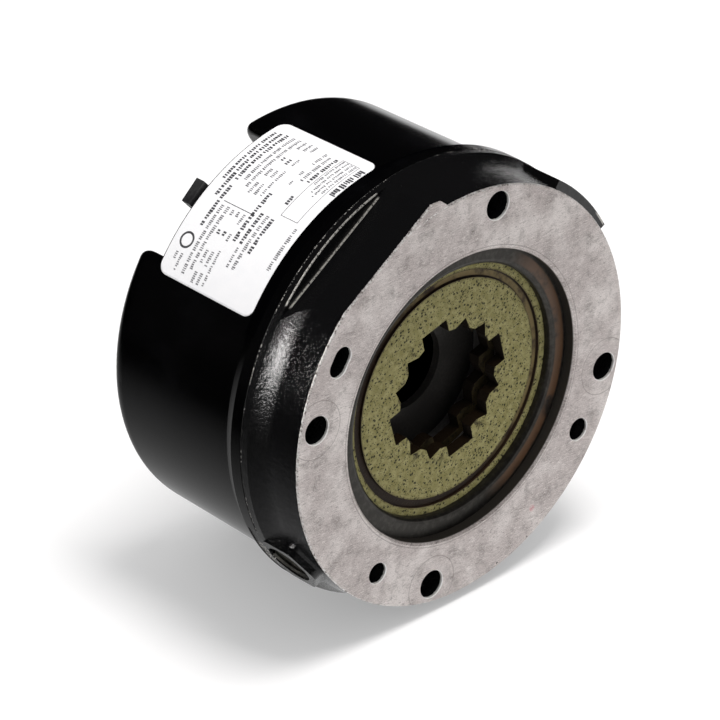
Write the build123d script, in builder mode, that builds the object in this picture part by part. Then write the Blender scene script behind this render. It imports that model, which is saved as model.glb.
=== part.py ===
from build123d import *
import math
import os

# Spring-set disc brake for a flange motor.
# Lengths are in millimetres. The origin is the centre of the mounting face.
# X is to the right and Z is up, seen from the front. Y is the depth behind the face.
# Angles in the face run counter-clockwise from +X, seen from the front.

# Named clearances
RUNNING_GAP = 0.05
FACE_GAP = 0.1
ASSEMBLY_GAP = 0.3
BOLT_PLAY = 0.4
OVERCUT = 1.0

# Disc stack: radii
REGISTER_RADIUS = 57.15
HOUSING_STEP = 4.85
HOUSING_RADIUS = REGISTER_RADIUS + HOUSING_STEP
DISC_PLAY = 3.5
DISC_RADIUS = HOUSING_RADIUS - DISC_PLAY
PLATE_PLAY = 1.0
PLATE_RADIUS = HOUSING_RADIUS - PLATE_PLAY
WEAR_RING_OUTER = HOUSING_RADIUS - ASSEMBLY_GAP
WEAR_RING_WIDTH = 12.03
WEAR_RING_INNER = WEAR_RING_OUTER - WEAR_RING_WIDTH
WEAR_RING_LIP = 2.0
WEAR_RING_LIP_STEPS = 3
GROOVE_INSET = 3.07
GROOVE_WIDTH = 3.1
GROOVE_DEPTH = 1.0
GROOVE_OUTER = WEAR_RING_INNER - GROOVE_INSET
GROOVE_INNER = GROOVE_OUTER - GROOVE_WIDTH
ROOT_RADIUS = 29.2
TOOTH_HEIGHT = 5.2
TOOTH_TIP_RADIUS = ROOT_RADIUS - TOOTH_HEIGHT
NARROW_ROOT_STEP = 1.5
NARROW_ROOT_RADIUS = ROOT_RADIUS - NARROW_ROOT_STEP
PLATE_BORE_STEP = 2.8
PLATE_BORE = ROOT_RADIUS + PLATE_BORE_STEP
QUARTER_TURN = 90.0
WIDE_ROOT_HALF_ANGLE = 12.4
WIDE_ROOT_ANGLE = 14.5
TOOTH_ANGLES = (19.5, 45.0, 70.5)
TOOTH_HALF_LAND = 4.0
NARROW_ROOT_ANGLES = (33.0, 57.0)
REAR_DISC_TURN = 2.2

# Disc stack: depths, from the register's floor back
REGISTER_DEPTH = 4.8
WEAR_RING_THICKNESS = 3.5
DISC_THICKNESS = 4.8
PLATE_THICKNESS = 3.2
PRESSURE_PLATE_THICKNESS = 6.0
RELEASE_TRAVEL = 1.2
RELEASE_SPARE = 1.3
SUPPORT_THICKNESS = 3.2
WEAR_RING_BACK = REGISTER_DEPTH + WEAR_RING_THICKNESS
FRONT_DISC_DEPTH = WEAR_RING_BACK + FACE_GAP
STATIONARY_DEPTH = FRONT_DISC_DEPTH + DISC_THICKNESS + FACE_GAP
REAR_DISC_DEPTH = STATIONARY_DEPTH + PLATE_THICKNESS + FACE_GAP
PRESSURE_DEPTH = REAR_DISC_DEPTH + DISC_THICKNESS + FACE_GAP
PRESSURE_BACK = PRESSURE_DEPTH + PRESSURE_PLATE_THICKNESS
SUPPORT_DEPTH = PRESSURE_BACK + RELEASE_TRAVEL + RELEASE_SPARE
SUPPORT_BACK = SUPPORT_DEPTH + SUPPORT_THICKNESS

# Endplate: radii, from the register outward
REGISTER_CHAMFER = 1.0
HOUSING_WALL = 4.0
RING_WALL_RADIUS = HOUSING_RADIUS + HOUSING_WALL
EAR_REACH = 3.0
EAR_RADIUS = HOUSING_RADIUS + EAR_REACH
EAR_SLOT_WIDTH = 14.0
EAR_ANGLE = 32.5
EAR_PLAY = 0.3
EAR_COUNT = 4
BOLT_COUNT = 4
BOLT_STEP = 17.46
BOLT_CIRCLE_RADIUS = REGISTER_RADIUS + BOLT_STEP
BOLT_HOLE_RADIUS = 5.55
BOLT_START_ANGLE = -12.25
BOLT_BOSS_WALL = 3.95
BOLT_BOSS_RADIUS = BOLT_HOLE_RADIUS + BOLT_BOSS_WALL
SPOTFACE_WALL = 0.9
SPOTFACE_RADIUS = BOLT_BOSS_RADIUS - SPOTFACE_WALL
BOLT_EDGE = 2.04
FACE_RADIUS = BOLT_CIRCLE_RADIUS + BOLT_HOLE_RADIUS + BOLT_EDGE
FACE_EDGE = 0.8
SIDE_DRAFT = 0.8
SIDE_RADIUS = FACE_RADIUS + SIDE_DRAFT
RIM_STEP = 3.2
RIM_RADIUS = SIDE_RADIUS + RIM_STEP
POCKET_WALL = 5.5
POCKET_RADIUS = SIDE_RADIUS - POCKET_WALL
POST_RADIUS = 7.0
POST_INSET = 3.61
POST_CIRCLE_RADIUS = BOLT_CIRCLE_RADIUS - POST_INSET
POST_ANGLES = (-32.2, 100.0, 232.5)
ADJUSTER_HOLE_RADIUS = 4.5
SIGHT_HOLE_RADIUS = 4.15
SLOT_ANGLE = 147.65
SLOT_INSET = 2.01
SLOT_CIRCLE_RADIUS = BOLT_CIRCLE_RADIUS - SLOT_INSET
SLOT_LENGTH = 12.0
SLOT_WIDTH = 8.0
PAD_ANGLE = 123.4
PAD_CUT = 1.86
PAD_DISTANCE = FACE_RADIUS - PAD_CUT
PAD_LUG_CORNERS = (
    (0.854, 102.471),
    (-0.513, 98.253),
    (-3.708, 96.264),
    (-10.887, 100.713),
    (-5.657, 114.973),
)
SIDE_LUG_STEP = 0.4
SIDE_LUG_RADIUS = RIM_RADIUS - SIDE_LUG_STEP
SIDE_LUG_ROOT = 2.0
SIDE_LUG_START = 29.5
SIDE_LUG_SWEEP = 24.5
SIDE_LUG_DEPTH = 3.0

# Endplate: depths
FLANGE_THICKNESS = 14.0
POST_RISE = 4.7
JOINT_DEPTH = SUPPORT_DEPTH - POST_RISE
RIM_WIDTH = 3.3
RIM_START = JOINT_DEPTH - RIM_WIDTH
FLARE_LENGTH = 11.0
FLARE_START = RIM_START - FLARE_LENGTH
SPOTFACE_DEPTH = 5.3
BOLT_SEAT_DEPTH = JOINT_DEPTH - SPOTFACE_DEPTH
HOLE_FLOOR_DEPTH = 6.0

# Conduit boss
CONDUIT_ANGLE = -146.3
CONDUIT_RADIUS = 9.13
CONDUIT_WALL = 4.47
CONDUIT_TIP = CONDUIT_RADIUS + CONDUIT_WALL
CONDUIT_TIP_CORNER = 4.0
CONDUIT_NECK_STEP = 0.5
CONDUIT_NECK = CONDUIT_TIP + CONDUIT_NECK_STEP
CONDUIT_FLARE = 4.4
CONDUIT_FOOT = CONDUIT_TIP + CONDUIT_FLARE
CONDUIT_FOOT_CORNER = 5.0
CONDUIT_INSET = 0.2
CONDUIT_FACE = RIM_RADIUS - CONDUIT_INSET
CONDUIT_NECK_LENGTH = 2.6
CONDUIT_NECK_DISTANCE = CONDUIT_FACE - CONDUIT_NECK_LENGTH
CONDUIT_BOSS_HEIGHT = 8.0
CONDUIT_FOOT_DISTANCE = CONDUIT_FACE - CONDUIT_BOSS_HEIGHT
CONDUIT_DRILL_DEPTH = 18.0
CONDUIT_INNER_DISTANCE = CONDUIT_FACE - CONDUIT_DRILL_DEPTH
CONDUIT_AXIS_INSET = 9.0
CONDUIT_DEPTH = JOINT_DEPTH - CONDUIT_AXIS_INSET
HEEL_HEIGHT = 4.3
CONDUIT_BACK = JOINT_DEPTH + HEEL_HEIGHT
NOTCH_MARGIN = 1.0
CONDUIT_NOTCH_HALF_WIDTH = CONDUIT_TIP + NOTCH_MARGIN
HEEL_SETBACK = 0.1
HEEL_INSIDE = 0.9
HEEL_REACH = 8.0

# Cover: radii and depths of its outside
GASKET_THICKNESS = 0.3
COVER_FRONT = JOINT_DEPTH + GASKET_THICKNESS
GASKET_INSET = 0.2
LIP_OVERHANG = 0.1
LIP_RADIUS = RIM_RADIUS + LIP_OVERHANG
LIP_LENGTH = 4.9
LIP_DEPTH = COVER_FRONT + LIP_LENGTH
LIP_SHOULDER_STEP = 2.3
LIP_SHOULDER_RADIUS = LIP_RADIUS - LIP_SHOULDER_STEP
LIP_SHOULDER_LENGTH = 4.5
LIP_SHOULDER_DEPTH = LIP_DEPTH + LIP_SHOULDER_LENGTH
BODY_STEP = 1.4
BODY_RADIUS = LIP_SHOULDER_RADIUS - BODY_STEP
BODY_STEP_LENGTH = 1.6
BODY_START = LIP_SHOULDER_DEPTH + BODY_STEP_LENGTH
BODY_TAPER = 1.1
BACK_RADIUS = BODY_RADIUS - BODY_TAPER
BACK_EDGE = 8.0
COVER_WALL = 3.0
CORE_RADIUS = BODY_RADIUS - COVER_WALL
CORE_BACK_RADIUS = BACK_RADIUS - COVER_WALL

# Support plate, on the posts
SUPPORT_PLAY = 0.5
SUPPORT_RADIUS = POCKET_RADIUS - SUPPORT_PLAY
SHAFT_HOLE_RADIUS = 16.8
SUPPORT_SCREW_RADIUS = 2.6
SCREW_HEAD_STEP = 1.9
SCREW_HEAD_RADIUS = SUPPORT_SCREW_RADIUS + SCREW_HEAD_STEP
SCREW_HEAD_HEIGHT = 3.2
HEX_KEY_RADIUS = 2.0

# Pressure springs
SPRING_INSET = 12.5
SPRING_CIRCLE = DISC_RADIUS - SPRING_INSET
SPRING_ANGLES = (30.0, 150.0, 270.0)
SPRING_RADIUS = 6.0
SPRING_WIRE = 1.1
SPRING_TURNS = 2.5
WELL_PLAY = 1.1
WELL_RADIUS = SPRING_RADIUS + SPRING_WIRE + WELL_PLAY
WELL_DEPTH = 3.0
CUP_PLAY = 0.9
CUP_INNER = SPRING_RADIUS + SPRING_WIRE + CUP_PLAY
CUP_WALL = 1.0
CUP_FLANGE_WIDTH = 2.5
CUP_FLANGE = CUP_INNER + CUP_WALL + CUP_FLANGE_WIDTH
CUP_LENGTH = 8.0

# Release yoke, its studs and its brackets
PIVOT_BEHIND_PLATE = 10.8
PIVOT_DEPTH = SUPPORT_BACK + PIVOT_BEHIND_PLATE
PULL_HEIGHT = 0.0
PULL_ARM = 3.9
PIVOT_HEIGHT = PULL_HEIGHT - PULL_ARM
STUD_X = 40.0
STUD_RADIUS = 4.0
STUD_INSET = 1.0
TANG_THICKNESS = 5.0
TANG_AHEAD = 7.0
TANG_BEYOND = 5.0
TANG_START = PIVOT_DEPTH - TANG_AHEAD
TANG_END = PIVOT_DEPTH + TANG_BEYOND
TANG_HALF_HEIGHT = 4.5
NOSE_RADIUS = 2.0
NOSE_LIFT = 0.4
NOSE_SLOT_HALF = NOSE_RADIUS + NOSE_LIFT
ARM_CLEARANCE = 1.0
ARM_THICKNESS = 4.0
ARM_INNER = STUD_X + TANG_THICKNESS / 2 + ARM_CLEARANCE
ARM_OUTER = ARM_INNER + ARM_THICKNESS
ARM_AHEAD = 5.0
ARM_FRONT = PIVOT_DEPTH - ARM_AHEAD
ARM_BELOW = 6.1
ARM_ABOVE = 9.9
ARM_CORNER = 3.0
ARM_BOTTOM = PIVOT_HEIGHT - ARM_BELOW
ARM_TOP = PIVOT_HEIGHT + ARM_ABOVE
WEB_BEHIND = 12.0
WEB_THICKNESS = 4.0
WEB_START = PIVOT_DEPTH + WEB_BEHIND
WEB_END = WEB_START + WEB_THICKNESS
PIVOT_PIN_RADIUS = 2.5
PIN_HEAD_STEP = 1.5
PIN_HEAD_LENGTH = 1.5
BRACKET_CLEARANCE = 1.5
BRACKET_INNER = ARM_OUTER + BRACKET_CLEARANCE
BRACKET_WALL = 3.0
BRACKET_FOOT_LENGTH = 13.0
BRACKET_FOOT_END = BRACKET_INNER + BRACKET_FOOT_LENGTH
BRACKET_HALF_HEIGHT = 12.0
BRACKET_MIDDLE = PIVOT_HEIGHT - FACE_GAP
BRACKET_BOTTOM = BRACKET_MIDDLE - BRACKET_HALF_HEIGHT
BRACKET_TOP = BRACKET_MIDDLE + BRACKET_HALF_HEIGHT
BRACKET_BEHIND = 6.0
BRACKET_REAR = PIVOT_DEPTH + BRACKET_BEHIND
BRACKET_SCREW_OFFSET = 8.0
BRACKET_SCREW_X = BRACKET_INNER + BRACKET_SCREW_OFFSET
BRACKET_SCREW_INSET = 5.0
BRACKET_SCREW_HEIGHTS = (BRACKET_BOTTOM + BRACKET_SCREW_INSET, BRACKET_TOP - BRACKET_SCREW_INSET)
SMALL_SHANK_RADIUS = 1.9
SMALL_HEAD_STEP = 1.3
SMALL_HEAD_RADIUS = SMALL_SHANK_RADIUS + SMALL_HEAD_STEP
SMALL_HEAD_HEIGHT = 2.4

# Plunger, from the pin down
TONGUE_LENGTH = 26.0
PLUNGER_PIN_DEPTH = PIVOT_DEPTH + TONGUE_LENGTH
PLUNGER_STROKE = 8.0
PIN_RADIUS = 2.0
PIN_SIDE_PLAY = 0.15
PIN_SWING = 1.3
PIN_OVERHANG = 1.5
TONGUE_HALF = 3.0
TONGUE_RADIUS = 3.9
SLOT_RADIUS = PIN_RADIUS + PIN_SIDE_PLAY
EAR_CLEARANCE = 0.6
EAR_THICKNESS = 4.0
EAR_INNER = TONGUE_HALF + EAR_CLEARANCE
EAR_OUTER = EAR_INNER + EAR_THICKNESS
EAR_ABOVE = 4.9
EAR_TOP = PIVOT_HEIGHT + EAR_ABOVE
EAR_HALF_DEPTH = 6.5
HEAD_BELOW = 8.1
HEAD_HEIGHT = 9.5
HEAD_TOP = PIVOT_HEIGHT - HEAD_BELOW
HEAD_BOTTOM = HEAD_TOP - HEAD_HEIGHT
STEM_LENGTH = 19.0
STEM_BOTTOM = HEAD_BOTTOM - STEM_LENGTH
STEM_HALF_X = 6.0
STEM_HALF_Y = 8.0

# Solenoid, between the plunger's lowest place and the support plate's edge
SOLENOID_HALF_DEPTH = 12.0
SOLENOID_MIDDLE = PLUNGER_PIN_DEPTH
SOLENOID_FRONT = SOLENOID_MIDDLE - SOLENOID_HALF_DEPTH
SOLENOID_BACK = SOLENOID_MIDDLE + SOLENOID_HALF_DEPTH
SOLENOID_HALF_WIDTH = 20.0
SOLENOID_LEG = 7.0
SEAT_GAP = 0.5
SOLENOID_TOP = HEAD_BOTTOM - PLUNGER_STROKE - SEAT_GAP
POLE_GAP = 1.5
POLE_TOP = STEM_BOTTOM - PLUNGER_STROKE - POLE_GAP
SOLENOID_INSET = 9.0
SOLENOID_BOTTOM = SOLENOID_INSET - SUPPORT_RADIUS
SOLENOID_BASE_TOP = SOLENOID_BOTTOM + SOLENOID_LEG
COIL_SINK = 3.0
COIL_SEAT = 3.0
COIL_TOP = SOLENOID_TOP - COIL_SINK
COIL_BOTTOM = SOLENOID_BASE_TOP + COIL_SEAT
COIL_SIDE_GAP = 0.5
COIL_HALF_X = SOLENOID_HALF_WIDTH - SOLENOID_LEG - COIL_SIDE_GAP
COIL_THICKNESS = 7.5
COIL_HALF_Y = STEM_HALF_Y + COIL_THICKNESS
COIL_CLEARANCE = 0.6
COIL_CORNER = 4.0
BOBBIN_FLANGE = 2.0
BOBBIN_RIM = 1.0
SHELF_THICKNESS = 3.0
SHELF_RISE = 9.0
SHELF_TOP_FLANGE = SOLENOID_BOTTOM + SHELF_RISE
BRACKET_SCREW_RISE = 4.6
BRACKET_SCREW_Z = SOLENOID_BOTTOM + BRACKET_SCREW_RISE
BRACKET_SCREW_SPREAD = 14.0
SOLENOID_SCREW_SPREAD = SOLENOID_HALF_WIDTH - SOLENOID_LEG
SCREW_TIP_ROOM = 1.0

# Cover: channel, back and screws
CHANNEL_ROOM = 6.0
CHANNEL_FLOOR = SOLENOID_BACK + CHANNEL_ROOM
CHANNEL_DEPTH = 14.7
BACK_DEPTH = CHANNEL_FLOOR + CHANNEL_DEPTH
CHANNEL_HALF_WIDTH = 28.5
CHANNEL_ANGLE = 122.5
CHANNEL_START = -10.0
CHANNEL_CORNER = 9.0
LOBE_EDGE = 3.0
COVER_SCREW_INSET = 15.0
COVER_SCREW_CIRCLE = SUPPORT_RADIUS - COVER_SCREW_INSET
COVER_SCREW_RADIUS = 2.5
COVER_HEAD_STEP = 3.0
COVER_HEAD_RADIUS = COVER_SCREW_RADIUS + COVER_HEAD_STEP
COVER_HEAD_HEIGHT = 4.0

# Manual release
RELEASE_HEIGHT = 12.0
RELEASE_SHAFT_RADIUS = 5.0
RELEASE_STUD_RADIUS = 3.5
FINGER_BEHIND = 2.5
FINGER_THICKNESS = 4.5
FINGER_FRONT = WEB_END + FINGER_BEHIND
FINGER_BACK = FINGER_FRONT + FINGER_THICKNESS
FINGER_LENGTH = 14.0
FINGER_HALF = 4.0
FINGER_HUB_STEP = 1.0
BUSH_WALL = 2.0
BUSH_RADIUS = RELEASE_SHAFT_RADIUS + BUSH_WALL
BUSH_FLANGE_STEP = 2.0
BUSH_FLANGE_RADIUS = BUSH_RADIUS + BUSH_FLANGE_STEP
BUSH_STAND = 1.0
BUSH_FRONT = CHANNEL_FLOOR - COVER_WALL - BUSH_STAND
BUSH_FLANGE = 0.5
COLLAR_STEP = 3.0
COLLAR_RADIUS = RELEASE_SHAFT_RADIUS + COLLAR_STEP
COLLAR_LENGTH = 3.0
LEVER_FRONT = CHANNEL_FLOOR + BUSH_FLANGE + FACE_GAP
LEVER_THICKNESS = 4.0
LEVER_WIDTH = 10.0
LEVER_EYE_WALL = 4.0
LEVER_END_ANGLE = 125.9
LEVER_OVERHANG = 0.8
LEVER_END_RADIUS = BODY_RADIUS + LEVER_OVERHANG
NUT_FLAT = 6.5
NUT_HEIGHT = 4.0
STUD_TIP = 1.0

# Label
LABEL_THICKNESS = 0.3
LABEL_LIFT = 0.12
LABEL_INSET = 0.8
LABEL_WIDTH = 50.0
LABEL_START = BODY_START + LABEL_INSET
LABEL_END = LABEL_START + LABEL_WIDTH
LABEL_FROM_ANGLE = 94.7
LABEL_SWEEP = 53.1
LABEL_CORNER = 4.0


def face_plane(depth):
    """Sketch plane behind the mounting face: sketch x is X and sketch y is Z."""
    return Plane(origin=(0, depth, 0), x_dir=(1, 0, 0), z_dir=(0, -1, 0))


def side_plane(x):
    """Sketch plane across X: sketch x is Y and sketch y is Z."""
    return Plane(origin=(x, 0, 0), x_dir=(0, 1, 0), z_dir=(1, 0, 0))


def level_plane(height):
    """Sketch plane at a height: sketch x is X and sketch y is Y."""
    return Plane(origin=(0, 0, height), x_dir=(1, 0, 0), z_dir=(0, 0, 1))


def radial_plane(angle, distance, depth):
    """Sketch plane that faces outward along a direction in the face: sketch y is the depth."""
    direction = (math.cos(math.radians(angle)), 0, math.sin(math.radians(angle)))
    centre = (distance * direction[0], depth, distance * direction[2])
    return Plane(origin=centre, x_dir=(direction[2], 0, -direction[0]), z_dir=direction)


def polar(radius, angle):
    """Point of the face at a radius and an angle."""
    return (radius * math.cos(math.radians(angle)), radius * math.sin(math.radians(angle)))


def bolt_angles():
    """Angles of the four mounting bolts."""
    return [BOLT_START_ANGLE + 360.0 / BOLT_COUNT * index for index in range(BOLT_COUNT)]


def bore_points(turn):
    """Corners of the toothed bore: four wide roots with three teeth between neighbours."""
    corners = []
    for quarter in range(4):
        start = WIDE_ROOT_ANGLE + turn + QUARTER_TURN * quarter
        corners.append(polar(ROOT_RADIUS, start - WIDE_ROOT_HALF_ANGLE))
        corners.append(polar(ROOT_RADIUS, start + WIDE_ROOT_HALF_ANGLE))
        for index, tooth in enumerate(TOOTH_ANGLES):
            corners.append(polar(TOOTH_TIP_RADIUS, start + tooth - TOOTH_HALF_LAND))
            corners.append(polar(TOOTH_TIP_RADIUS, start + tooth + TOOTH_HALF_LAND))
            if index < len(NARROW_ROOT_ANGLES):
                corners.append(polar(NARROW_ROOT_RADIUS, start + NARROW_ROOT_ANGLES[index]))
    return corners


def make_endplate():
    """Cast mounting plate with the register, the disc housing, the posts and the conduit boss."""
    heel_length = HEEL_HEIGHT + 2 * OVERCUT
    heel_middle = CONDUIT_BACK - heel_length / 2
    ear_slot_circle = (HOUSING_RADIUS + RING_WALL_RADIUS) / 2 - OVERCUT
    pad_cutter = RIM_RADIUS - PAD_DISTANCE + 2 * OVERCUT
    with BuildPart() as boss:
        with BuildSketch(radial_plane(CONDUIT_ANGLE, CONDUIT_FOOT_DISTANCE, CONDUIT_DEPTH)) as foot:
            RegularPolygon(radius=CONDUIT_FOOT, side_count=6, rotation=30)
            fillet(foot.vertices(), radius=CONDUIT_FOOT_CORNER)
        with BuildSketch(radial_plane(CONDUIT_ANGLE, CONDUIT_NECK_DISTANCE, CONDUIT_DEPTH)) as neck:
            RegularPolygon(radius=CONDUIT_NECK, side_count=6, rotation=30)
            fillet(neck.vertices(), radius=CONDUIT_TIP_CORNER)
        loft()
        with BuildSketch(radial_plane(CONDUIT_ANGLE, CONDUIT_NECK_DISTANCE, CONDUIT_DEPTH)) as collar:
            RegularPolygon(radius=CONDUIT_NECK, side_count=6, rotation=30)
            fillet(collar.vertices(), radius=CONDUIT_TIP_CORNER)
        with BuildSketch(radial_plane(CONDUIT_ANGLE, CONDUIT_FACE, CONDUIT_DEPTH)) as tip:
            RegularPolygon(radius=CONDUIT_TIP, side_count=6, rotation=30)
            fillet(tip.vertices(), radius=CONDUIT_TIP_CORNER)
        loft()
        with BuildSketch(radial_plane(CONDUIT_ANGLE, RING_WALL_RADIUS, 0)):
            with Locations((0, (FACE_EDGE + CONDUIT_BACK) / 2)):
                Rectangle(2 * CONDUIT_NOTCH_HALF_WIDTH, CONDUIT_BACK - FACE_EDGE)
        extrude(amount=CONDUIT_FACE - RING_WALL_RADIUS + OVERCUT, mode=Mode.INTERSECT)
    with BuildPart() as heel:
        with BuildSketch(radial_plane(CONDUIT_ANGLE, CORE_RADIUS - HEEL_INSIDE, heel_middle)):
            Rectangle(2 * CONDUIT_NOTCH_HALF_WIDTH, heel_length)
        extrude(amount=HEEL_REACH)
        with BuildSketch(face_plane(RIM_START)):
            Circle(RIM_RADIUS - HEEL_SETBACK)
        extrude(amount=-(CONDUIT_BACK - RIM_START + OVERCUT), mode=Mode.INTERSECT)
    with BuildPart() as endplate:
        with BuildSketch(Plane.XY):
            with BuildLine():
                Polyline(
                    (0, 0),
                    (FACE_RADIUS - FACE_EDGE / 2, 0),
                    (FACE_RADIUS, FACE_EDGE / 2),
                    (SIDE_RADIUS, FLARE_START),
                )
                TangentArc((SIDE_RADIUS, FLARE_START), (RIM_RADIUS, RIM_START), tangent=(0, 1))
                Polyline((RIM_RADIUS, RIM_START), (RIM_RADIUS, JOINT_DEPTH), (0, JOINT_DEPTH), (0, 0))
            make_face()
        revolve(axis=Axis.Y)
        with BuildSketch(face_plane(SIDE_LUG_DEPTH)):
            with BuildLine():
                CenterArc((0, 0), SIDE_LUG_RADIUS, SIDE_LUG_START, SIDE_LUG_SWEEP)
                Polyline(
                    polar(SIDE_LUG_RADIUS, SIDE_LUG_START + SIDE_LUG_SWEEP),
                    polar(FACE_RADIUS - SIDE_LUG_ROOT, SIDE_LUG_START + SIDE_LUG_SWEEP),
                    polar(FACE_RADIUS - SIDE_LUG_ROOT, SIDE_LUG_START),
                    polar(SIDE_LUG_RADIUS, SIDE_LUG_START),
                )
            make_face()
        extrude(amount=-(RIM_START - SIDE_LUG_DEPTH))
        with BuildSketch(face_plane(0)):
            Polygon(*[polar(RIM_RADIUS + step, angle) for step, angle in PAD_LUG_CORNERS], align=None)
        extrude(amount=-RIM_START)
        add(boss.part)
        add(heel.part)
        with BuildSketch(face_plane(-OVERCUT)):
            pad_middle = polar(PAD_DISTANCE + pad_cutter / 2, PAD_ANGLE)
            with Locations(Location((*pad_middle, 0), (0, 0, PAD_ANGLE))):
                Rectangle(pad_cutter, RIM_RADIUS)
        extrude(amount=-(RIM_START + OVERCUT), mode=Mode.SUBTRACT)
        with BuildSketch(face_plane(FLANGE_THICKNESS)):
            Circle(POCKET_RADIUS)
            Circle(RING_WALL_RADIUS, mode=Mode.SUBTRACT)
            with Locations(*[polar(POST_CIRCLE_RADIUS, angle) for angle in POST_ANGLES]):
                Circle(POST_RADIUS, mode=Mode.SUBTRACT)
            with Locations(*[polar(BOLT_CIRCLE_RADIUS, angle) for angle in bolt_angles()]):
                Circle(BOLT_BOSS_RADIUS, mode=Mode.SUBTRACT)
        extrude(amount=-(JOINT_DEPTH - FLANGE_THICKNESS), mode=Mode.SUBTRACT)
        with BuildSketch(face_plane(BOLT_SEAT_DEPTH)):
            with Locations(*[polar(BOLT_CIRCLE_RADIUS, angle) for angle in bolt_angles()]):
                Circle(SPOTFACE_RADIUS)
        extrude(amount=-(JOINT_DEPTH - BOLT_SEAT_DEPTH + OVERCUT), mode=Mode.SUBTRACT)
        with BuildSketch(face_plane(JOINT_DEPTH - OVERCUT)):
            with Locations(*[polar(POST_CIRCLE_RADIUS, angle) for angle in POST_ANGLES]):
                Circle(POST_RADIUS)
        extrude(amount=-(SUPPORT_DEPTH - JOINT_DEPTH + OVERCUT))
        with BuildSketch(face_plane(-OVERCUT)):
            with Locations(*[polar(BOLT_CIRCLE_RADIUS, angle) for angle in bolt_angles()]):
                Circle(BOLT_HOLE_RADIUS)
        extrude(amount=-(JOINT_DEPTH + 2 * OVERCUT), mode=Mode.SUBTRACT)
        with BuildSketch(face_plane(-OVERCUT)):
            Circle(REGISTER_RADIUS)
        extrude(amount=-(REGISTER_DEPTH + 2 * OVERCUT), mode=Mode.SUBTRACT)
        with BuildSketch(face_plane(REGISTER_DEPTH)):
            Circle(HOUSING_RADIUS)
        extrude(amount=-(SUPPORT_DEPTH - REGISTER_DEPTH), mode=Mode.SUBTRACT)
        with BuildSketch(Plane.XY):
            with BuildLine():
                Polyline(
                    (REGISTER_RADIUS - OVERCUT, 0),
                    (REGISTER_RADIUS + REGISTER_CHAMFER, 0),
                    (REGISTER_RADIUS, REGISTER_CHAMFER),
                    (REGISTER_RADIUS - OVERCUT, REGISTER_CHAMFER),
                    close=True,
                )
            make_face()
        revolve(axis=Axis.Y, mode=Mode.SUBTRACT)
        with BuildSketch(face_plane(REGISTER_DEPTH)):
            with PolarLocations(ear_slot_circle, EAR_COUNT, start_angle=EAR_ANGLE):
                Rectangle(HOUSING_WALL + 2 * OVERCUT, EAR_SLOT_WIDTH)
        extrude(amount=-(JOINT_DEPTH - REGISTER_DEPTH), mode=Mode.SUBTRACT)
        with BuildSketch(face_plane(-OVERCUT)):
            with Locations(polar(POST_CIRCLE_RADIUS, POST_ANGLES[0])):
                Circle(ADJUSTER_HOLE_RADIUS)
            with Locations(polar(POST_CIRCLE_RADIUS, POST_ANGLES[2])):
                Circle(SIGHT_HOLE_RADIUS)
        extrude(amount=-(HOLE_FLOOR_DEPTH + OVERCUT), mode=Mode.SUBTRACT)
        with BuildSketch(face_plane(HOLE_FLOOR_DEPTH - OVERCUT)):
            with Locations(*[polar(POST_CIRCLE_RADIUS, angle) for angle in POST_ANGLES]):
                Circle(SUPPORT_SCREW_RADIUS)
        extrude(amount=-(SUPPORT_DEPTH - HOLE_FLOOR_DEPTH + 2 * OVERCUT), mode=Mode.SUBTRACT)
        with BuildSketch(face_plane(-OVERCUT)):
            slot_middle = polar(SLOT_CIRCLE_RADIUS, SLOT_ANGLE)
            with Locations(Location((*slot_middle, 0), (0, 0, SLOT_ANGLE + QUARTER_TURN))):
                SlotOverall(SLOT_LENGTH, SLOT_WIDTH)
        extrude(amount=-(FLANGE_THICKNESS + 2 * OVERCUT), mode=Mode.SUBTRACT)
        with BuildSketch(radial_plane(CONDUIT_ANGLE, CONDUIT_INNER_DISTANCE, CONDUIT_DEPTH)):
            Circle(CONDUIT_RADIUS)
        extrude(amount=CONDUIT_DRILL_DEPTH + 4 * OVERCUT, mode=Mode.SUBTRACT)
    endplate.part.label = "endplate"
    return endplate.part


def make_wear_ring():
    """Steel ring that closes the front of the disc housing, with a rounded inner lip."""
    lip = []
    for step in range(WEAR_RING_LIP_STEPS):
        turn = math.radians(QUARTER_TURN * step / WEAR_RING_LIP_STEPS)
        lip.append(
            (
                WEAR_RING_INNER + WEAR_RING_LIP * (1 - math.cos(turn)),
                REGISTER_DEPTH + WEAR_RING_LIP * (1 - math.sin(turn)),
            )
        )
    with BuildPart() as wear_ring:
        with BuildSketch(Plane.XY):
            with BuildLine():
                Polyline(
                    (WEAR_RING_INNER + WEAR_RING_LIP, REGISTER_DEPTH),
                    (WEAR_RING_OUTER, REGISTER_DEPTH),
                    (WEAR_RING_OUTER, WEAR_RING_BACK),
                    (WEAR_RING_INNER, WEAR_RING_BACK),
                    *lip,
                    close=True,
                )
            make_face()
        revolve(axis=Axis.Y)
        with BuildSketch(face_plane(REGISTER_DEPTH)):
            with PolarLocations((DISC_RADIUS + EAR_RADIUS) / 2, EAR_COUNT, start_angle=EAR_ANGLE):
                Rectangle(EAR_RADIUS - DISC_RADIUS, EAR_SLOT_WIDTH - 2 * EAR_PLAY)
        extrude(amount=-WEAR_RING_THICKNESS)
    wear_ring.part.label = "wear_ring"
    return wear_ring.part


def make_friction_disc(name, depth, turn):
    """Friction disc with the toothed bore and one ring groove in its front face."""
    with BuildPart() as disc:
        with BuildSketch(face_plane(depth)):
            Circle(DISC_RADIUS)
            Polygon(*bore_points(turn), align=None, mode=Mode.SUBTRACT)
        extrude(amount=-DISC_THICKNESS)
        with BuildSketch(face_plane(depth)):
            Circle(GROOVE_OUTER)
            Circle(GROOVE_INNER, mode=Mode.SUBTRACT)
        extrude(amount=-GROOVE_DEPTH, mode=Mode.SUBTRACT)
    disc.part.label = name
    return disc.part


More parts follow.
